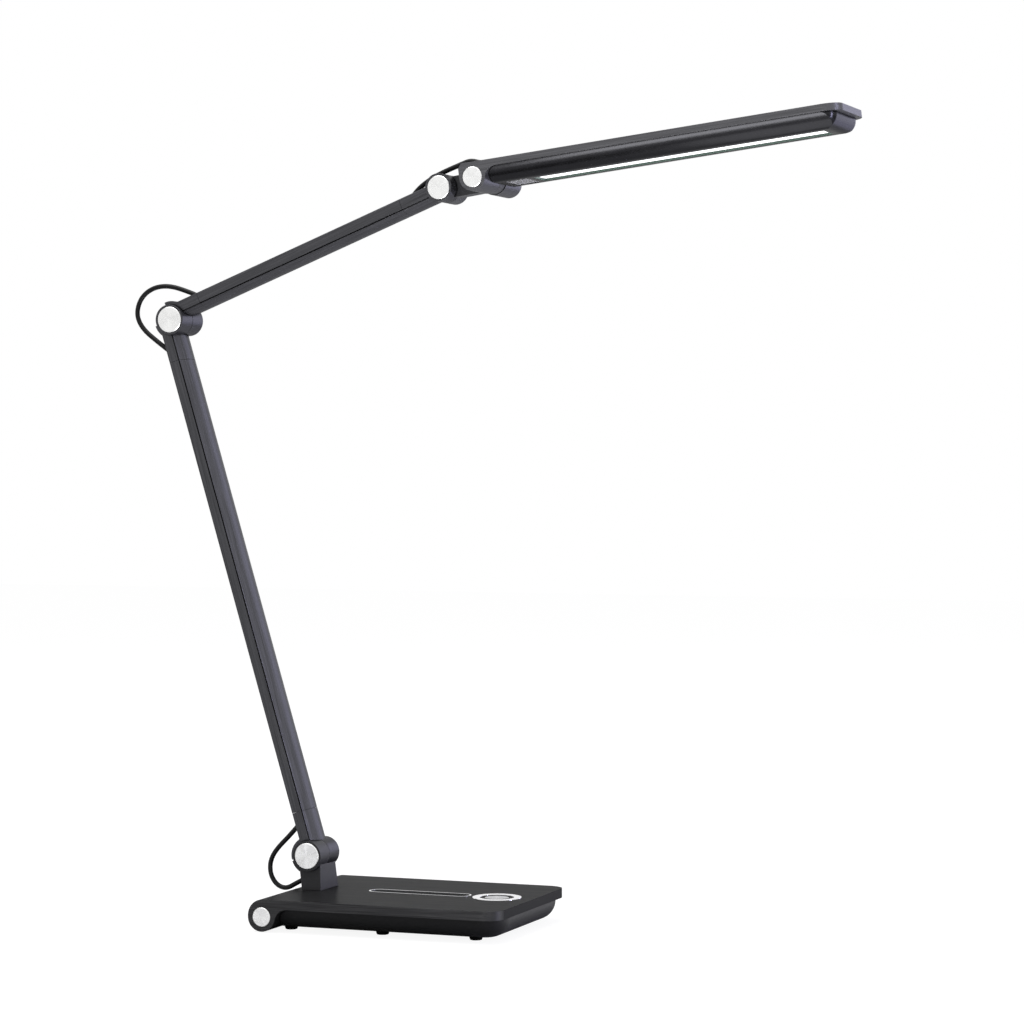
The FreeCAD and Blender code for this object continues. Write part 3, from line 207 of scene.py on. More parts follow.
class LampDetailSettings(bpy.types.PropertyGroup):
    """Sizes of what the CAD model leaves plain."""
    cable_diameter: FloatProperty(
        name="Cable", description="Diameter of the cable", unit="LENGTH", default=3.5 * MM)
    cap_depth: FloatProperty(
        name="Cap depth", description="Thickness of a spun cap", unit="LENGTH", default=2.4 * MM)
    cap_bevel: FloatProperty(
        name="Cap bevel", description="Bright bevel at a cap's rim", unit="LENGTH", default=0.5 * MM)
    key_radius: FloatProperty(
        name="Key radius", description="Radius of the power key's face", unit="LENGTH", default=8.7 * MM)
    key_dish: FloatProperty(
        name="Key dish", description="Depth of the hollow in the key", unit="LENGTH", default=0.45 * MM)
    ring_bore: FloatProperty(
        name="Ring bore", description="Inner radius of the key's ring", unit="LENGTH", default=12.0 * MM)
    foot_radius: FloatProperty(
        name="Foot radius", description="Radius of a rubber foot at its top", unit="LENGTH",
        default=5.2 * MM)
    foot_taper: FloatProperty(
        name="Foot taper", description="How much a foot narrows to the floor", unit="LENGTH",
        default=0.9 * MM)
    screw_radius: FloatProperty(
        name="Screw head", description="Radius of a tray screw's head", unit="LENGTH", default=2.8 * MM)
    mesh_pitch: FloatProperty(
        name="Mesh pitch", description="Distance between the vent's wires", unit="LENGTH", default=2.4 * MM)
    wire_diameter: FloatProperty(
        name="Wire", description="Width of the vent's flat wires", unit="LENGTH", default=0.6 * MM)
    guide_edge: FloatProperty(
        name="Guide edge", description="Height of the light guide's green edge", unit="LENGTH",
        default=1.5 * MM)
    edge_softness: FloatProperty(
        name="Edge", description="Radius at which edges catch the light", unit="LENGTH", default=0.35 * MM)
    # painted shade: how far the ambient occlusion in every finish darkens the colour into creases and gaps
    crease_shade_reach: FloatProperty(
        name="Seams", description="How far the dark of a seam reaches", unit="LENGTH", default=1.6 * MM)
    head_rise: FloatProperty(
        name="Head rise", description="Slope of the head as the lamp stands", subtype="ANGLE",
        default=math.radians(6.9))
    spin_steps: IntProperty(
        name="Spin steps", description="Sides of a turned piece", default=96, min=12)


# Meshes

def new_piece(name, mesh):
    piece = bpy.data.objects.new(name, mesh)
    bpy.context.scene.collection.objects.link(piece)
    return piece


def mesh_from(name, build):
    """A mesh made by a function that fills a bmesh, with its doubles merged and its faces outwards."""
    work = bmesh.new()
    build(work)
    bmesh.ops.remove_doubles(work, verts=work.verts, dist=1e-7)
    bmesh.ops.recalc_face_normals(work, faces=work.faces)
    mesh = bpy.data.meshes.new(name)
    work.to_mesh(mesh)
    work.free()
    return mesh


def turned(work, profile, centre, axis, steps, closed=False):
    """Turns a profile of (radius, height) round an axis. The spin map holds (turn, radius)."""
    spin = work.loops.layers.uv.get("spin") or work.loops.layers.uv.new("spin")
    side = axis.orthogonal().normalized()
    across = axis.cross(side)
    rings = []
    for radius, height in profile:
        ring = []
        for step in range(steps):
            angle = 2 * math.pi * step / steps
            way = side * math.cos(angle) + across * math.sin(angle)
            ring.append(work.verts.new(centre + axis * height + way * radius))
        rings.append((radius, ring))
    pairs = list(zip(rings, rings[1:] + (rings[:1] if closed else [])))
    for (inner, first), (outer, second) in pairs:
        for step in range(steps):
            after = (step + 1) % steps
            corners = [(first[step], step, inner), (first[after], step + 1, inner),
                       (second[after], step + 1, outer), (second[step], step, outer)]
            if inner == 0:
                corners.pop(1)
            elif outer == 0:
                corners.pop(2)
            face = work.faces.new([corner[0] for corner in corners])
            face.smooth = True
            for loop, (_, turn, radius) in zip(face.loops, corners):
                loop[spin].uv = (turn / steps, radius)


def smooth_by_angle(mesh, degrees=35.0):
    """Smooth shading that keeps edges sharper than an angle."""
    mesh.shade_smooth()
    mesh.set_sharp_from_angle(angle=math.radians(degrees))


def turned_piece(name, profile, centre, axis, steps, closed=False):
    mesh = mesh_from(name, lambda work: turned(work, profile, centre, axis, steps, closed))
    smooth_by_angle(mesh)
    return new_piece(name, mesh)


# Materials

def add(tree, kind, inputs=None, **settings):
    """Adds a node, sets its properties, and sets or links its inputs."""
    node = tree.nodes.new(kind)
    for name, value in settings.items():
        setattr(node, name, value)
    for name, value in (inputs or {}).items():
        if isinstance(value, bpy.types.NodeSocket):
            tree.links.new(value, node.inputs[name])
        else:
            node.inputs[name].default_value = value
    return node


def material(name, build):
    """The material of that name, built the first time that it is asked for."""
    made = bpy.data.materials.get(name)
    if made is None:
        made = bpy.data.materials.new(name)
        made.use_nodes = True
        tree = made.node_tree
        shader = tree.nodes["Principled BSDF"]
        place = add(tree, "ShaderNodeTexCoord")
        build(tree, shader, place.outputs["Object"])
    return made


def settle(shader, **values):
    """Sets sockets that are the same all over the surface."""
    for name, value in values.items():
        shader.inputs[name.replace("_", " ")].default_value = value


def drive(tree, shader, name, output):
    tree.links.new(output, shader.inputs[name])


def shades(colour, spread):
    """A darker and a lighter shade of a colour."""
    return [c * (1 - spread) for c in colour], [c * (1 + spread) for c in colour]


def lay_pattern(tree, shader, pattern, colours, rough, relief=0.0):
    """Lets one pattern drive colour, roughness and relief, with soft edges and painted shade in creases and
    gaps.
    """
    detail = bpy.context.scene.lamp_detail
    darker, lighter = colours
    tint = add(tree, "ShaderNodeMix",
               {FACTOR: pattern, COLOUR_A: opaque(darker), COLOUR_B: opaque(lighter)}, data_type="RGBA")
    # painted shade: ambient occlusion darkens the base colour in creases, joints and gaps between parts
    crease_shade = add(tree, "ShaderNodeAmbientOcclusion",
                {"Color": tint.outputs[COLOUR_OUT], "Distance": detail.crease_shade_reach}, samples=4)
    drive(tree, shader, "Base Color", crease_shade.outputs["Color"])
    level = add(tree, "ShaderNodeMapRange", {"Value": pattern, "To Min": rough[0], "To Max": rough[1]})
    drive(tree, shader, "Roughness", level.outputs["Result"])
    edge = add(tree, "ShaderNodeBevel", {"Radius": detail.edge_softness}, samples=4)
    bump = add(tree, "ShaderNodeBump", {"Height": pattern, "Strength": 0.3, "Distance": relief,
                                        "Normal": edge.outputs["Normal"]})
    drive(tree, shader, "Normal", bump.outputs["Normal"])


def brushing(tree, place, slope):
    """Long streaks that run along a slope above +X and leave the faces across it plain."""
    # the real scratches are about 0.1 mm wide; they are drawn at 0.8 mm so that they show
    grain = add(tree, "ShaderNodeMapping", {"Vector": place, "Rotation": (0.0, -slope, 0.0),
                                            "Scale": (45 * MM, 0.8 * MM, 0.8 * MM)}, vector_type="TEXTURE")
    streak = add(tree, "ShaderNodeTexNoise",
                 {"Vector": grain.outputs["Vector"], "Scale": 1.0, "Detail": 4.0})
    clear = add(tree, "ShaderNodeMapRange",
                {"Value": streak.outputs["Fac"], "From Min": 0.3, "From Max": 0.7})
    along = (math.cos(slope), 0.0, math.sin(slope))
    facing = add(tree, "ShaderNodeVectorMath", {0: place.node.outputs["Normal"], 1: along},
                 operation="DOT_PRODUCT")
    across = add(tree, "ShaderNodeMath", {0: facing.outputs["Value"]}, operation="ABSOLUTE")
    fade = add(tree, "ShaderNodeMapRange", {"Value": across.outputs[0], "From Min": 0.1, "From Max": 0.6})
    plain = 0.5
    streaks = add(tree, "ShaderNodeMix", {FACTOR: fade.outputs["Result"], NUMBER_A: clear.outputs["Result"],
                                          NUMBER_B: plain})
    return streaks.outputs[NUMBER_OUT]


def base_plate():
    # Sheet aluminium, brushed and black anodised: fine dark streaks with little shine.
    def build(tree, shader, place):
        settle(shader, Metallic=0.7, Specular_IOR_Level=0.02, Specular_Tint=opaque(linear("#606060")))
        lay_pattern(tree, shader, brushing(tree, place, 0.0),
                    shades(bpy.context.scene.lamp_finish.plate, 0.4), (0.28, 0.4), 0.03 * MM)

    return material("brushed_base_plate", build)


def satin_anodised(piece, colour, slope):
    # Drawn or rolled aluminium, brushed along its length and black anodised: dark, with a satin shine.
    def build(tree, shader, place):
        settle(shader, Metallic=0.8, Specular_IOR_Level=0.1, Specular_Tint=opaque(linear("#BCBCBC")))
        lay_pattern(tree, shader, brushing(tree, place, slope), shades(colour, 0.25), (0.26, 0.38),
                    0.02 * MM)

    return material("satin_anodised_" + piece, build)


def blasted_aluminium():
    # Bead-blasted castings, black anodised: a fine even grit that breaks up soft highlights.
    def build(tree, shader, place):
        settle(shader, IOR=1.5, Specular_IOR_Level=0.16)
        # the real grit is about 0.1 mm; it is drawn at 0.5 mm so that it shows
        grit = add(tree, "ShaderNodeTexNoise", {"Vector": place, "Scale": per_metre(0.5)})
        lay_pattern(tree, shader, grit.outputs["Fac"], shades(bpy.context.scene.lamp_finish.casting, 0.3),
                    (0.4, 0.5), 0.04 * MM)

    return material("blasted_anodised_aluminium", build)


def spun_aluminium(piece, colour):
    # Faced on a lathe: fine rings, and soft painted highlight wedges from the middle, standing in for the
    # reflections that such rings show.
    def build(tree, shader, place):
        settle(shader, Metallic=1.0, Anisotropic=0.8)
        spin = add(tree, "ShaderNodeUVMap", uv_map="spin")
        turn = add(tree, "ShaderNodeSeparateXYZ", {"Vector": spin.outputs["UV"]})
        angle = add(tree, "ShaderNodeMath", {0: turn.outputs["X"], 1: 2 * math.pi}, operation="MULTIPLY")
        east = add(tree, "ShaderNodeMath", {0: angle.outputs[0]}, operation="COSINE")
        north = add(tree, "ShaderNodeMath", {0: angle.outputs[0]}, operation="SINE")
        # tool marks of about 0.1 mm, drawn at 0.8 mm so that they show
        marks = add(tree, "ShaderNodeMath", {0: turn.outputs["Y"], 1: per_metre(0.8)}, operation="MULTIPLY")
        # painted highlight: a noise round the turn lays lighter and darker wedges from the middle into the
        # colour
        painted_fan_directions = add(tree, "ShaderNodeCombineXYZ", {"X": east.outputs[0], "Y": north.outputs[0]})
        painted_fan_highlight = add(tree, "ShaderNodeTexNoise", {"Vector": painted_fan_directions.outputs[0], "Scale": 2.2, "Detail": 2.0})
        ring = add(tree, "ShaderNodeTexNoise", {"W": marks.outputs[0], "Scale": 1.0, "Detail": 1.0},
                   noise_dimensions="1D")
        ring_share = 0.25
        rings_and_painted_fans = add(tree, "ShaderNodeMix", {FACTOR: ring_share, NUMBER_A: painted_fan_highlight.outputs["Fac"],
                                           NUMBER_B: ring.outputs["Fac"]})
        clear = add(tree, "ShaderNodeMapRange",
                    {"Value": rings_and_painted_fans.outputs[NUMBER_OUT], "From Min": 0.38, "From Max": 0.62})
        darker = [0.92 * c for c in colour]
        lay_pattern(tree, shader, clear.outputs["Result"], (darker, colour), (0.24, 0.34))
        way = add(tree, "ShaderNodeTangent", direction_type="UV_MAP", uv_map="spin")
        drive(tree, shader, "Tangent", way.outputs["Tangent"])

    return material("spun_aluminium_" + piece, build)


def bright_trim():
    # Polished and clear anodised: a pale, slightly cool metal with a hazy shine.
    def build(tree, shader, place):
        settle(shader, Metallic=1.0)
        haze = add(tree, "ShaderNodeTexNoise", {"Vector": place, "Scale": per_metre(1.5), "Detail": 3.0})
        lay_pattern(tree, shader, haze.outputs["Fac"], shades(bpy.context.scene.lamp_finish.trim, 0.1),
                    (0.34, 0.44))

    return material("bright_trim", build)


def moulded_abs():
    # Moulded ABS with a fine spark-eroded grain: nearly no reflection.
    def build(tree, shader, place):
        settle(shader, IOR=1.5, Specular_IOR_Level=0.14)
        grain = add(tree, "ShaderNodeTexNoise", {"Vector": place, "Scale": per_metre(0.7), "Detail": 3.0})
        lay_pattern(tree, shader, grain.outputs["Fac"],
                    shades(bpy.context.scene.lamp_finish.tray_black, 0.2), (0.45, 0.58), 0.05 * MM)

    return material("moulded_abs", build)


def touch_film():
    # Matt black film over the touch strip: darker than the plate, with a faint haze.
    def build(tree, shader, place):
        settle(shader, IOR=1.5, Specular_IOR_Level=0.01)
        haze = add(tree, "ShaderNodeTexNoise", {"Vector": place, "Scale": per_metre(3.0)})
        lay_pattern(tree, shader, haze.outputs["Fac"], (linear("#121213"), linear("#1C1C1D")), (0.5, 0.6))

    return material("touch_film", build)


def gunmetal_lacquer():
    # Polished gunmetal lacquer over ABS: clean dark reflections with a faint waviness from the mould.
    def build(tree, shader, place):
        settle(shader, Metallic=0.9, Specular_IOR_Level=0.02, Specular_Tint=opaque(linear("#BCBCBC")))
        wave = add(tree, "ShaderNodeTexNoise", {"Vector": place, "Scale": per_metre(9.0)})
        lay_pattern(tree, shader, wave.outputs["Fac"],
                    shades(bpy.context.scene.lamp_finish.gunmetal, 0.1), (0.18, 0.24), 0.01 * MM)

    return material("gunmetal_lacquer", build)


def rubber():
    # Soft rubber: matt, with a dusty mottle.
    def build(tree, shader, place):
        settle(shader, IOR=1.5, Specular_IOR_Level=0.1)
        dust = add(tree, "ShaderNodeTexNoise", {"Vector": place, "Scale": per_metre(1.2), "Detail": 4.0})
        lay_pattern(tree, shader, dust.outputs["Fac"], (linear("#0E0E0E"), linear("#1A1A1A")),
                    (0.75, 0.9), 0.05 * MM)

    return material("rubber", build)


def cable_sheath():
    # Extruded PVC: satin, with faint lines along the cable.
    def build(tree, shader, place):
        settle(shader, IOR=1.5, Specular_IOR_Level=0.2)
        lay = add(tree, "ShaderNodeUVMap", uv_map="sheath")
        # 18 lines round the sheath, each about 9 mm long
        lines = add(tree, "ShaderNodeMapping",
                    {"Vector": lay.outputs["UV"], "Scale": (18.0, per_metre(9), 1.0)})
        line = add(tree, "ShaderNodeTexNoise",
                   {"Vector": lines.outputs["Vector"], "Scale": 1.0, "Detail": 2.0})
        lay_pattern(tree, shader, line.outputs["Fac"],
                    shades(bpy.context.scene.lamp_finish.cable_black, 0.3), (0.28, 0.4))

    return material("cable_sheath", build)


def opal_polycarbonate():
    # Opal sheet lit from behind: an even white glow over a fine stipple.
    def build(tree, shader, place):
        settle(shader, IOR=1.58, Roughness=0.45, Base_Color=opaque(linear("#F6F6F4")))
        settle(shader, Emission_Strength=bpy.context.scene.lamp_finish.glow)
        stipple = add(tree, "ShaderNodeTexVoronoi", {"Vector": place, "Scale": per_metre(1.0)})
        lit = add(tree, "ShaderNodeMix", {FACTOR: stipple.outputs["Distance"],
                                          COLOUR_A: opaque(linear("#FFFFFF")),
                                          COLOUR_B: opaque(linear("#F4F6F8"))}, data_type="RGBA")
        drive(tree, shader, "Emission Color", lit.outputs[COLOUR_OUT])

    return material("opal_polycarbonate", build)


def acrylic_edge():
    # Sawn edge of the acrylic light guide: a deep bottle green, rough from the saw.
    def build(tree, shader, place):
        settle(shader, IOR=1.49, Specular_IOR_Level=0.2)
        saw = add(tree, "ShaderNodeTexNoise", {"Vector": place, "Scale": per_metre(1.2), "Detail": 3.0})
        lay_pattern(tree, shader, saw.outputs["Fac"], (linear("#36463E"), linear("#55665D")), (0.3, 0.5))

    return material("acrylic_edge", build)


def plain_steel():
    # Zinc-plated steel: a dull grey metal.
    def build(tree, shader, place):
        settle(shader, Metallic=1.0)
        zinc = add(tree, "ShaderNodeTexNoise", {"Vector": place, "Scale": per_metre(2.0), "Detail": 3.0})
        lay_pattern(tree, shader, zinc.outputs["Fac"], (linear("#9A9A98"), linear("#C4C4C0")), (0.3, 0.45))

    return material("plain_steel", build)


def nylon():
    # Moulded nylon of the friction washers: dark, with a waxy mottle.
    def build(tree, shader, place):
        settle(shader, IOR=1.53)
        wax = add(tree, "ShaderNodeTexNoise", {"Vector": place, "Scale": per_metre(1.0)})
        lay_pattern(tree, shader, wax.outputs["Fac"], (linear("#161616"), linear("#222222")), (0.45, 0.55))

    return material("nylon", build)


def solder_mask():
    # Green lacquer over copper tracks about 2 mm apart.
    def build(tree, shader, place):
        settle(shader, IOR=1.5)
        tracks = add(tree, "ShaderNodeTexWave", {"Vector": place, "Scale": per_metre(2) / math.pi,
                                                 "Distortion": 3.0})
        lay_pattern(tree, shader, tracks.outputs["Fac"], (linear("#0B3A22"), linear("#14502F")), (0.3, 0.4))

    return material("solder_mask", build)


def led_phosphor():
    # Phosphor grains under clear silicone: a speckled warm yellow with a wet shine.
    def build(tree, shader, place):
        settle(shader, IOR=1.42)
        grains = add(tree, "ShaderNodeTexNoise", {"Vector": place, "Scale": per_metre(0.5)})
        lay_pattern(tree, shader, grains.outputs["Fac"], (linear("#E6C84A"), linear("#F5DE7A")), (0.2, 0.3))

    return material("led_phosphor", build)


def grey_wire_cloth():
    # Painted wire cloth of the vent: light grey, with the paint laid unevenly.
    def build(tree, shader, place):
        settle(shader, IOR=1.5, Specular_IOR_Level=0.3)
        paint = add(tree, "ShaderNodeTexNoise", {"Vector": place, "Scale": per_metre(1.5)})
        lay_pattern(tree, shader, paint.outputs["Fac"], (linear("#B4B4B8"), linear("#CECED2")),
                    (0.45, 0.55))

    return material("grey_wire_cloth", build)


# The CAD nodes that stay, by the finish that they get.
NODE_FINISHES = {
    blasted_aluminium: ["hinge_post", "wrist_link"],
    base_plate: ["base_top_cover"],
    bright_trim: ["slider_rim"],
    moulded_abs: ["base_tray", "dc_jack"],
    touch_film: ["slider_strip"],
    gunmetal_lacquer: ["head_housing"],
    opal_polycarbonate: ["diffuser"],
    plain_steel: ["post_screws", "base_ballast", "base_hinge_pin", "base_hinge_nut", "elbow_hinge_pin",
                  "elbow_hinge_nut", "wrist_hinge_pin", "wrist_hinge_nut", "head_hinge_pin"],
    nylon: ["base_hinge_washer", "elbow_hinge_washer", "wrist_hinge_washer", "head_hinge_washers"],
    solder_mask: ["control_board", "tact_switch", "led_board"],
    led_phosphor: ["leds"],
    rubber: ["lower_arm_lead", "upper_arm_lead"],
}

# The satin CAD nodes: the piece, its colour's setting, the slope of its brushing above +X in degrees, and
# the nodes.
SATIN = [
    ("head", "head_plate", 6.9, ["head_top_cover"]),
    ("lower_arm", "tube", 105.8, ["lower_arm_channel", "lower_arm_cover", "lower_arm_base_knuckle",
                                  "lower_arm_elbow_knuckle"]),
    ("upper_arm", "tube", 23.0, ["upper_arm_channel", "upper_arm_cover", "upper_arm_elbow_knuckle",
                                 "upper_arm_wrist_knuckle"]),
]


def dress(piece, finish):
    """Gives a piece or a CAD node one finish."""
    piece.data.materials.clear()
    piece.data.materials.append(finish)


# Geometry Nodes

def repeat_tree():
    """A node tree that puts a copy of an object on each point, turned and stretched as the point says."""
    name = "repeat_on_points"
    tree = bpy.data.node_groups.get(name)
    if tree:
        return tree
    tree = bpy.data.node_groups.new(name, "GeometryNodeTree")
    tree.interface.new_socket("Points", in_out="INPUT", socket_type="NodeSocketGeometry")
    tree.interface.new_socket("Piece", in_out="INPUT", socket_type="NodeSocketObject")
    tree.interface.new_socket("Finish", in_out="INPUT", socket_type="NodeSocketMaterial")
    tree.interface.new_socket("Pieces", in_out="OUTPUT", socket_type="NodeSocketGeometry")
    given = add(tree, "NodeGroupInput")
    source = add(tree, "GeometryNodeObjectInfo", {"Object": given.outputs["Piece"]})
    way = add(tree, "GeometryNodeInputNamedAttribute", {"Name": "turn"}, data_type="FLOAT_VECTOR")
    stretch = add(tree, "GeometryNodeInputNamedAttribute", {"Name": "stretch"}, data_type="FLOAT_VECTOR")
    copies = add(tree, "GeometryNodeInstanceOnPoints", {
        "Points": given.outputs["Points"], "Instance": source.outputs["Geometry"],
        "Rotation": way.outputs["Attribute"], "Scale": stretch.outputs["Attribute"]})
    solid = add(tree, "GeometryNodeRealizeInstances", {"Geometry": copies.outputs["Instances"]})
    painted = add(tree, "GeometryNodeSetMaterial", {"Geometry": solid.outputs["Geometry"],
                                                    "Material": given.outputs["Finish"]})
    add(tree, "NodeGroupOutput", {"Pieces": painted.outputs["Geometry"]})
    return tree


def repeated(name, source, finish, places):
    """Copies of a source object at places, each a (point, turn, stretch), as one plain mesh."""
    points = bpy.data.meshes.new(name + "_points")
    points.from_pydata([place[0] for place in places], [], [])
    for label, column in (("turn", 1), ("stretch", 2)):
        layer = points.attributes.new(label, "FLOAT_VECTOR", "POINT")
        for item, place in zip(layer.data, places):
            item.vector = place[column]
    holder = new_piece(name + "_holder", points)
    modifier = holder.modifiers.new("Repeat", "NODES")
    tree = repeat_tree()
    modifier.node_group = tree
    inputs = {item.name: item.identifier for item in tree.interface.items_tree if item.in_out == "INPUT"}
    modifier[inputs["Piece"]] = source
    modifier[inputs["Finish"]] = finish
    bpy.context.view_layer.update()
    shown = holder.evaluated_get(bpy.context.evaluated_depsgraph_get())
    mesh = bpy.data.meshes.new_from_object(shown)
    mesh.name = name
    holder.modifiers.remove(modifier)
    bpy.data.objects.remove(holder)
    bpy.data.objects.remove(source)
    return new_piece(name, mesh)


# Cables

def cable_line(name, route, pivot):
    """Points along a smooth line through the route's corners, read from its NURBS spline."""
    curve = bpy.data.curves.new(name, "CURVE")
    curve.dimensions = "3D"
    curve.resolution_u = 10
    spline = curve.splines.new("NURBS")
    spline.points.add(len(route) - 1)
    for point, (forward, up) in zip(spline.points, route):
        point.co = (*(pivot + Vector((forward, 0, up)) * MM), 1.0)
    spline.order_u = 3
    spline.use_endpoint_u = True
    holder = new_piece(name, curve)
    bpy.context.view_layer.update()
    mesh = bpy.data.meshes.new_from_object(holder)
    line = [vertex.co.copy() for vertex in mesh.vertices]
    bpy.data.meshes.remove(mesh)
    bpy.data.objects.remove(holder)
    bpy.data.curves.remove(curve)
    return line


def tube(work, line, radius, sides=20):
    """A closed tube round a line in the lamp's middle plane. The sheath map holds (turn, length)."""
    sheath = work.loops.layers.uv.new("sheath")
    rings = []
    run = 0.0
    for i, point in enumerate(line):
        before = line[max(i - 1, 0)]
        after = line[min(i + 1, len(line) - 1)]
        if i:
            run += (point - before).length
        out = (after - before).normalized().cross(ALONG_Y)
        ring = [work.verts.new(point + (out * math.cos(a) + ALONG_Y * math.sin(a)) * radius)
                for a in (2 * math.pi * side / sides for side in range(sides))]
        rings.append((run, ring))
    for (start, first), (end, second) in zip(rings, rings[1:]):
        for side in range(sides):
            after = (side + 1) % sides
            corners = [(first[side], side, start), (first[after], side + 1, start),
                       (second[after], side + 1, end), (second[side], side, end)]
            face = work.faces.new([corner[0] for corner in corners])
            for loop, (_, turn, length) in zip(face.loops, corners):
                loop[sheath].uv = (turn / sides, length)
    work.faces.new(rings[0][1])
    work.faces.new(rings[-1][1])


class LAMP_OT_cables(bpy.types.Operator):
    """Makes the cable loops at the hinges"""
    bl_idname = "lamp.cables"
    bl_label = "Cables"

    def execute(self, context):
        diameter = context.scene.lamp_detail.cable_diameter
        for name, node, route, joint, first, second, reach in CABLES:
            line = cable_line(name + "_line", route, Vector(JOINTS[joint]["pos_m"]))
            mesh = mesh_from(name, lambda work: tube(work, line, diameter / 2))
            smooth_by_angle(mesh)
            piece = new_piece(name, mesh)
            dress(piece, cable_sheath())
            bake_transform(piece)
            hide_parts(node)
        return {"FINISHED"}


# Turned pieces

def cap_profile(radius, depth, bevel):
    """A faced disc with a shallow dimple, a bright bevel and a short wall."""
    dimple = 0.12 * MM
    return [(0.0, -dimple), (radius * 0.12, -dimple * 0.6), (radius * 0.3, 0.0), (radius - bevel, 0.0),
            (radius, -bevel * 0.8), (radius, -depth), (0.0, -depth)]


class LAMP_OT_caps(bpy.types.Operator):
    """Makes the spun caps in the ends of the barrels"""
    bl_idname = "lamp.caps"
    bl_label = "Spun caps"

    def execute(self, context):
        detail = context.scene.lamp_detail
        for node, body, sides in CAPS:
            low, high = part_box(node)
            middle = (low + high) / 2
            profile = cap_profile((high.x - low.x) / 2, detail.cap_depth, detail.cap_bevel)

            def build(work):
                for side in sides:
                    face = Vector((middle.x, low.y if side < 0 else high.y, middle.z))
                    turned(work, profile, face, ALONG_Y * side, detail.spin_steps)

            mesh = mesh_from(node + "_spun", build)
            smooth_by_angle(mesh)
            piece = new_piece(node + "_spun", mesh)
            dress(piece, spun_aluminium("caps", context.scene.lamp_finish.spun))
            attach(piece, body)
            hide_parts(node)
        return {"FINISHED"}


def stand(node):
    """The foot of an upright round node's axis, its radius and its height."""
    low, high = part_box(node)
    foot = Vector(((low.x + high.x) / 2, (low.y + high.y) / 2, low.z))
    return foot, (high.x - low.x) / 2, high.z - low.z


def key_profile(flange, height, detail):
    """The dished face of the key, its soft edge, the groove round it and the flange under the plate."""
    radius = detail.key_radius
    dish = detail.key_dish
    edge = 0.35 * MM
    flange_height = 1.0 * MM
    groove = height - 0.4 * MM
    step = detail.ring_bore - 0.3 * MM
    return [(0.0, height - dish), (radius * 0.35, height - dish * 0.9),
            (radius * 0.7, height - dish * 0.45), (radius - 2.2 * edge, height), (radius - edge, height),
            (radius - edge * 0.3, height - edge * 0.3), (radius, height - edge), (radius, groove),
            (step, groove), (step, flange_height), (flange, flange_height), (flange, 0.0), (0.0, 0.0)]


def ring_profile(bore, outer, height):
    """A flat ring with soft upper edges."""
    soft = 0.3 * MM
    return [(bore, 0.0), (outer, 0.0), (outer, height - soft),
            (outer - soft * 0.3, height - soft * 0.3), (outer - soft, height), (bore + 2 * soft, height),
            (bore + soft * 0.6, height - soft * 0.5), (bore, height - 2 * soft)]


class LAMP_OT_controls(bpy.types.Operator):
    """Makes the power key and its ring"""
    bl_idname = "lamp.controls"
    bl_label = "Controls"

    def execute(self, context):
        detail = context.scene.lamp_detail
        foot, flange, height = stand("power_key")
        profile = key_profile(flange, height, detail)
        key = turned_piece("power_key_cap", profile, foot, UPRIGHT, detail.spin_steps)
        dress(key, spun_aluminium("key", context.scene.lamp_finish.key))
        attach(key, "power_key")
        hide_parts("power_key")
        foot, outer, height = stand("key_ring")
        profile = ring_profile(detail.ring_bore, outer, height)
        ring = turned_piece("key_ring_turned", profile, foot, UPRIGHT, detail.spin_steps, closed=True)
        dress(ring, bright_trim())
        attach(ring, "base")
        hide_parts("key_ring")
        return {"FINISHED"}


class LAMP_OT_underside(bpy.types.Operator):
    """Makes the rubber feet and the tray's screws"""
    bl_idname = "lamp.underside"
    bl_label = "Feet and screws"

    def execute(self, context):
        detail = context.scene.lamp_detail
        steps = detail.spin_steps // 2
        low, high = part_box("rubber_feet")
        radius = detail.foot_radius
        height = high.z - low.z
        sole = radius - detail.foot_taper
        soft = 0.6 * MM
        profile = [(0.0, 0.0), (sole - soft, 0.0), (sole - soft * 0.3, soft * 0.25), (sole, soft),
                   (radius, height), (0.0, height)]
        foot = turned_piece("foot_source", profile, Vector(), UPRIGHT, steps)
        rows = (low.x + radius, (low.x + high.x) / 2, high.x - radius)
        places = [((x, y, low.z), UNTURNED, UNSTRETCHED)
                  for x in rows for y in (low.y + radius, high.y - radius)]
        feet = repeated("feet", foot, rubber(), places)
        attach(feet, "base")
        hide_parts("rubber_feet")
        low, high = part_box("tray_screws")
        radius = detail.screw_radius
        length = high.z - low.z
        head = 1.8 * MM
        recess = 1.1 * MM
        shank = 1.5 * MM
        bevel = 0.3 * MM
        profile = [(0.0, recess), (radius * 0.45, recess * 0.8), (radius * 0.5, 0.0), (radius - bevel, 0.0),
                   (radius, bevel), (radius, head), (shank, head), (shank, length), (0.0, length)]
        screw = turned_piece("screw_source", profile, Vector(), UPRIGHT, steps)
        places = [((x, y, low.z), UNTURNED, UNSTRETCHED)
                  for x in (low.x + radius, high.x - radius) for y in (low.y + radius, high.y - radius)]
        screws = repeated("tray_screw_set", screw, plain_steel(), places)
        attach(screws, "base")
        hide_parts("tray_screws")
        return {"FINISHED"}


# Vent and light guide

def head_frame():
    """From the head's own frame, at its pivot and along its plate, to the lamp's."""
    pivot = Vector(JOINTS["head_tilt"]["pos_m"])
    return Matrix.Translation(pivot) @ Matrix.Rotation(-bpy.context.scene.lamp_detail.head_rise, 4, "Y")


def in_head(node):
    """The points of a CAD node in the head's own frame."""
    back = head_frame().inverted()
    return [back @ vertex.co for vertex in frame["nodes"][node].data.vertices]


def corners(points):
    """The lowest and the highest corner of a box round points."""
    low = Vector([min(point[i] for point in points) for i in range(3)])
    high = Vector([max(point[i] for point in points) for i in range(3)])
    return low, high


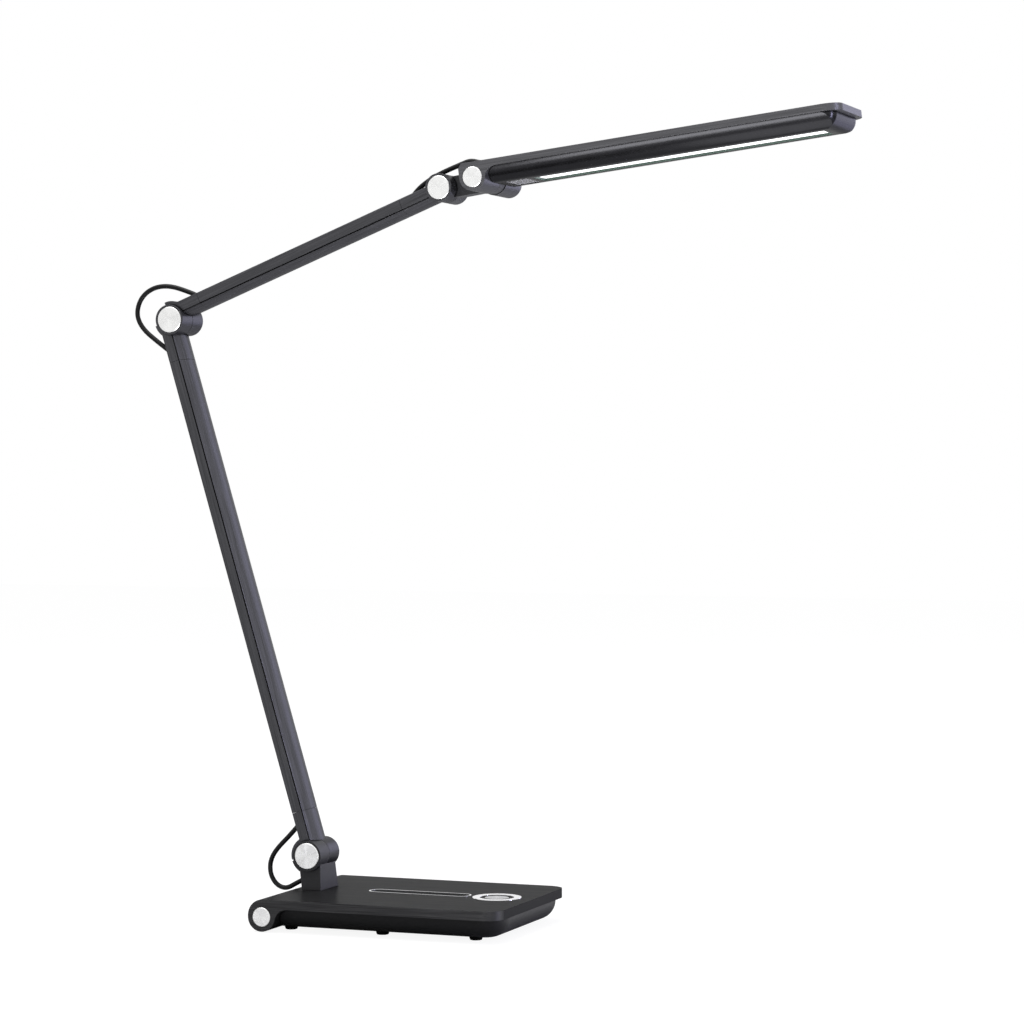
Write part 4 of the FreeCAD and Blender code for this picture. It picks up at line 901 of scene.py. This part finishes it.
def diagonal_wires(low, high, pitch, slant):
    """Places of straight wires at 45 degrees that fill a rectangle."""
    places = []
    step = pitch * math.sqrt(2)
    reach = (high.x - low.x) + (high.y - low.y)
    count = int(reach / step)
    for i in range(count):
        offset = (i + 0.5) * step
        # the wire's line is x + y = offset, mirrored for the other slant, cut by the rectangle's sides
        x_from = max(0.0, offset - (high.y - low.y))
        x_to = min(high.x - low.x, offset)
        length = (x_to - x_from) * math.sqrt(2)
        x_mid = (x_from + x_to) / 2
        y_mid = offset - x_mid
        y_place = low.y + y_mid if slant < 0 else high.y - y_mid
        places.append(((low.x + x_mid, y_place), slant * math.pi / 4, length))
    return places


class LAMP_OT_vent(bpy.types.Operator):
    """Makes the wire cloth of the vent under the head"""
    bl_idname = "lamp.vent"
    bl_label = "Vent"

    def execute(self, context):
        detail = context.scene.lamp_detail
        low, high = corners(in_head("vent_grille"))
        radius = detail.wire_diameter / 2
        level = low.z + radius
        flatness = 0.12
        # the two layers of wires press a little into each other
        lift = 0.8 * radius * flatness
        # a wire of unit length, that each place stretches to its own
        profile = [(0.0, -0.5), (radius, -0.5), (radius, 0.5), (0.0, 0.5)]
        wire_sides = 6
        wire = turned_piece("wire_source", profile, Vector(), FORWARD, wire_sides)
        places = []
        for slant in (-1, 1):
            for (x, y), angle, length in diagonal_wires(low, high, detail.mesh_pitch, slant):
                places.append(((x, y, level + slant * lift), (0.0, 0.0, angle), (length, 1.0, flatness)))
        cloth = repeated("vent_cloth", wire, grey_wire_cloth(), places)
        cloth.data.transform(head_frame())
        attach(cloth, "head")
        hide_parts("vent_grille")
        return {"FINISHED"}


def box_ring(work, low, high, wall):
    """A rectangular ring with upright walls between two corners."""
    inset = Vector((wall, wall, 0))
    levels = []
    for corner, far in ((low, high), (low + inset, high - inset)):
        loop = [(corner.x, corner.y), (far.x, corner.y), (far.x, far.y), (corner.x, far.y)]
        levels.append([[work.verts.new((x, y, z)) for x, y in loop] for z in (low.z, high.z)])
    (outer_low, outer_high), (inner_low, inner_high) = levels
    for first, second in ((outer_low, outer_high), (inner_low, inner_high), (outer_low, inner_low),
                          (outer_high, inner_high)):
        for i in range(4):
            after = (i + 1) % 4
            work.faces.new((first[i], first[after], second[after], second[i]))


class LAMP_OT_light_guide(bpy.types.Operator):
    """Makes the green edge of the light guide round the window"""
    bl_idname = "lamp.light_guide"
    bl_label = "Light guide"

    def execute(self, context):
        flat = 0.05 * MM
        seat = 0.02 * MM
        wall = 0.4 * MM
        points = in_head("diffuser")
        face = min(point.z for point in points)
        low, high = corners([point for point in points if point.z < face + flat])
        low.z = face - context.scene.lamp_detail.guide_edge
        high.z = face - seat
        mesh = mesh_from("light_guide_edge", lambda work: box_ring(work, low, high, wall))
        ring = new_piece("light_guide_edge", mesh)
        ring.data.transform(head_frame())
        dress(ring, acrylic_edge())
        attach(ring, "head")
        return {"FINISHED"}


class LAMP_OT_finishes(bpy.types.Operator):
    """Gives the CAD nodes that stay their finishes"""
    bl_idname = "lamp.finishes"
    bl_label = "Finishes"

    def execute(self, context):
        for finish, names in NODE_FINISHES.items():
            for name in names:
                dress(frame["nodes"][name], finish())
        for piece, setting, slope, names in SATIN:
            colour = getattr(context.scene.lamp_finish, setting)
            for name in names:
                dress(frame["nodes"][name], satin_anodised(piece, colour, math.radians(slope)))
        return {"FINISHED"}


# Stage

def softbox(name, power, width, height, place, target, colour):
    """A soft rectangular light that the camera doesn't see."""
    light = bpy.data.lights.new(name, "AREA")
    light.shape = "RECTANGLE"
    light.size = width
    light.size_y = height
    light.energy = power
    light.color = colour
    lamp = bpy.data.objects.new(name, light)
    lamp.location = place
    lamp.rotation_euler = (Vector(target) - Vector(place)).to_track_quat("-Z", "Y").to_euler()
    lamp.visible_camera = False
    bpy.context.scene.collection.objects.link(lamp)


def seen_directly(tree):
    """1 for what the camera sees, straight or in metal and glass, and 0 for what lights the object."""
    path = add(tree, "ShaderNodeLightPath")
    direct = add(tree, "ShaderNodeMath",
                 {0: path.outputs["Is Camera Ray"], 1: path.outputs["Is Glossy Ray"]}, operation="MAXIMUM")
    through = add(tree, "ShaderNodeMath",
                  {0: direct.outputs[0], 1: path.outputs["Is Transmission Ray"]}, operation="MAXIMUM")
    return through.outputs[0]


class LAMP_OT_stage(bpy.types.Operator):
    """Makes the floor, the light and the camera"""
    bl_idname = "lamp.stage"
    bl_label = "Stage"

    def execute(self, context):
        scene = context.scene
        stage = scene.lamp_stage
        scene.view_settings.view_transform = "Standard"
        world = bpy.data.worlds.new("studio")
        scene.world = world
        world.use_nodes = True
        tree = world.node_tree
        seen = seen_directly(tree)
        level = add(tree, "ShaderNodeMapRange", {"Value": seen, "To Min": stage.sky_level, "To Max": 1.0})
        tree.links.new(level.outputs["Result"], tree.nodes["Background"].inputs["Strength"])
        tree.nodes["Background"].inputs["Color"].default_value = opaque(WHITE)

        def build_floor(tree, shader, place):
            # The lamp stands on white paper; for the camera its shadow is fainter than that paper's.
            settle(shader, Roughness=0.9, Specular_IOR_Level=0.0, Emission_Color=opaque(WHITE))
            ray = add(tree, "ShaderNodeLightPath").outputs["Is Camera Ray"]
            shown = add(tree, "ShaderNodeMix", {FACTOR: ray, COLOUR_A: opaque(stage.floor_colour),
                                                COLOUR_B: opaque(linear("#808080"))}, data_type="RGBA")
            drive(tree, shader, "Base Color", shown.outputs[COLOUR_OUT])
            lift = add(tree, "ShaderNodeMath", {0: ray, 1: stage.floor_lift}, operation="MULTIPLY")
            drive(tree, shader, "Emission Strength", lift.outputs[0])

        half = 5.0
        edge = [(-half, -half, 0), (half, -half, 0), (half, half, 0), (-half, half, 0)]
        mesh = bpy.data.meshes.new("floor")
        mesh.from_pydata(edge, [], [(0, 1, 2, 3)])
        floor = new_piece("floor", mesh)
        dress(floor, material("pale_floor", build_floor))
        for name, power, width, height, place, target, cool in SOFTBOXES:
            colour = stage.cool_colour if cool else WHITE
            softbox(name, getattr(stage, power), width, height, place, target, colour)
        camera = bpy.data.cameras.new("camera")
        camera.lens = stage.lens
        camera.sensor_width = 36.0
        eye = bpy.data.objects.new("camera", camera)
        eye.location = stage.camera_place
        look = Vector(stage.camera_target) - Vector(stage.camera_place)
        eye.rotation_euler = look.to_track_quat("-Z", "Y").to_euler()
        scene.collection.objects.link(eye)
        scene.camera = eye
        return {"FINISHED"}


OPERATORS = (LAMP_OT_stage, LAMP_OT_cables, LAMP_OT_caps, LAMP_OT_controls, LAMP_OT_underside, LAMP_OT_vent,
             LAMP_OT_light_guide, LAMP_OT_finishes)


class LAMP_PT_panel(bpy.types.Panel):
    """Lists the lamp's steps and settings"""
    bl_idname = "LAMP_PT_panel"
    bl_label = "Desk Lamp"
    bl_space_type = "VIEW_3D"
    bl_region_type = "UI"
    bl_category = "Desk Lamp"

    def draw(self, context):
        for operator in OPERATORS:
            self.layout.operator(operator.bl_idname)
        for group in (context.scene.lamp_stage, context.scene.lamp_finish, context.scene.lamp_detail):
            box = self.layout.box()
            for name in group.__annotations__:
                box.prop(group, name)


SETTINGS = (("lamp_stage", LampStageSettings), ("lamp_finish", LampFinishSettings),
            ("lamp_detail", LampDetailSettings))
CLASSES = (*(kind for _, kind in SETTINGS), *OPERATORS, LAMP_PT_panel)


def register():
    for kind in CLASSES:
        bpy.utils.register_class(kind)
    for name, kind in SETTINGS:
        setattr(bpy.types.Scene, name, PointerProperty(type=kind))


def unregister():
    for name, _ in SETTINGS:
        delattr(bpy.types.Scene, name)
    for kind in reversed(CLASSES):
        bpy.utils.unregister_class(kind)


def main():
    register()
    for operator in OPERATORS:
        group, name = operator.bl_idname.split(".")
        getattr(getattr(bpy.ops, group), name)()


if __name__ == "__main__":
    main()
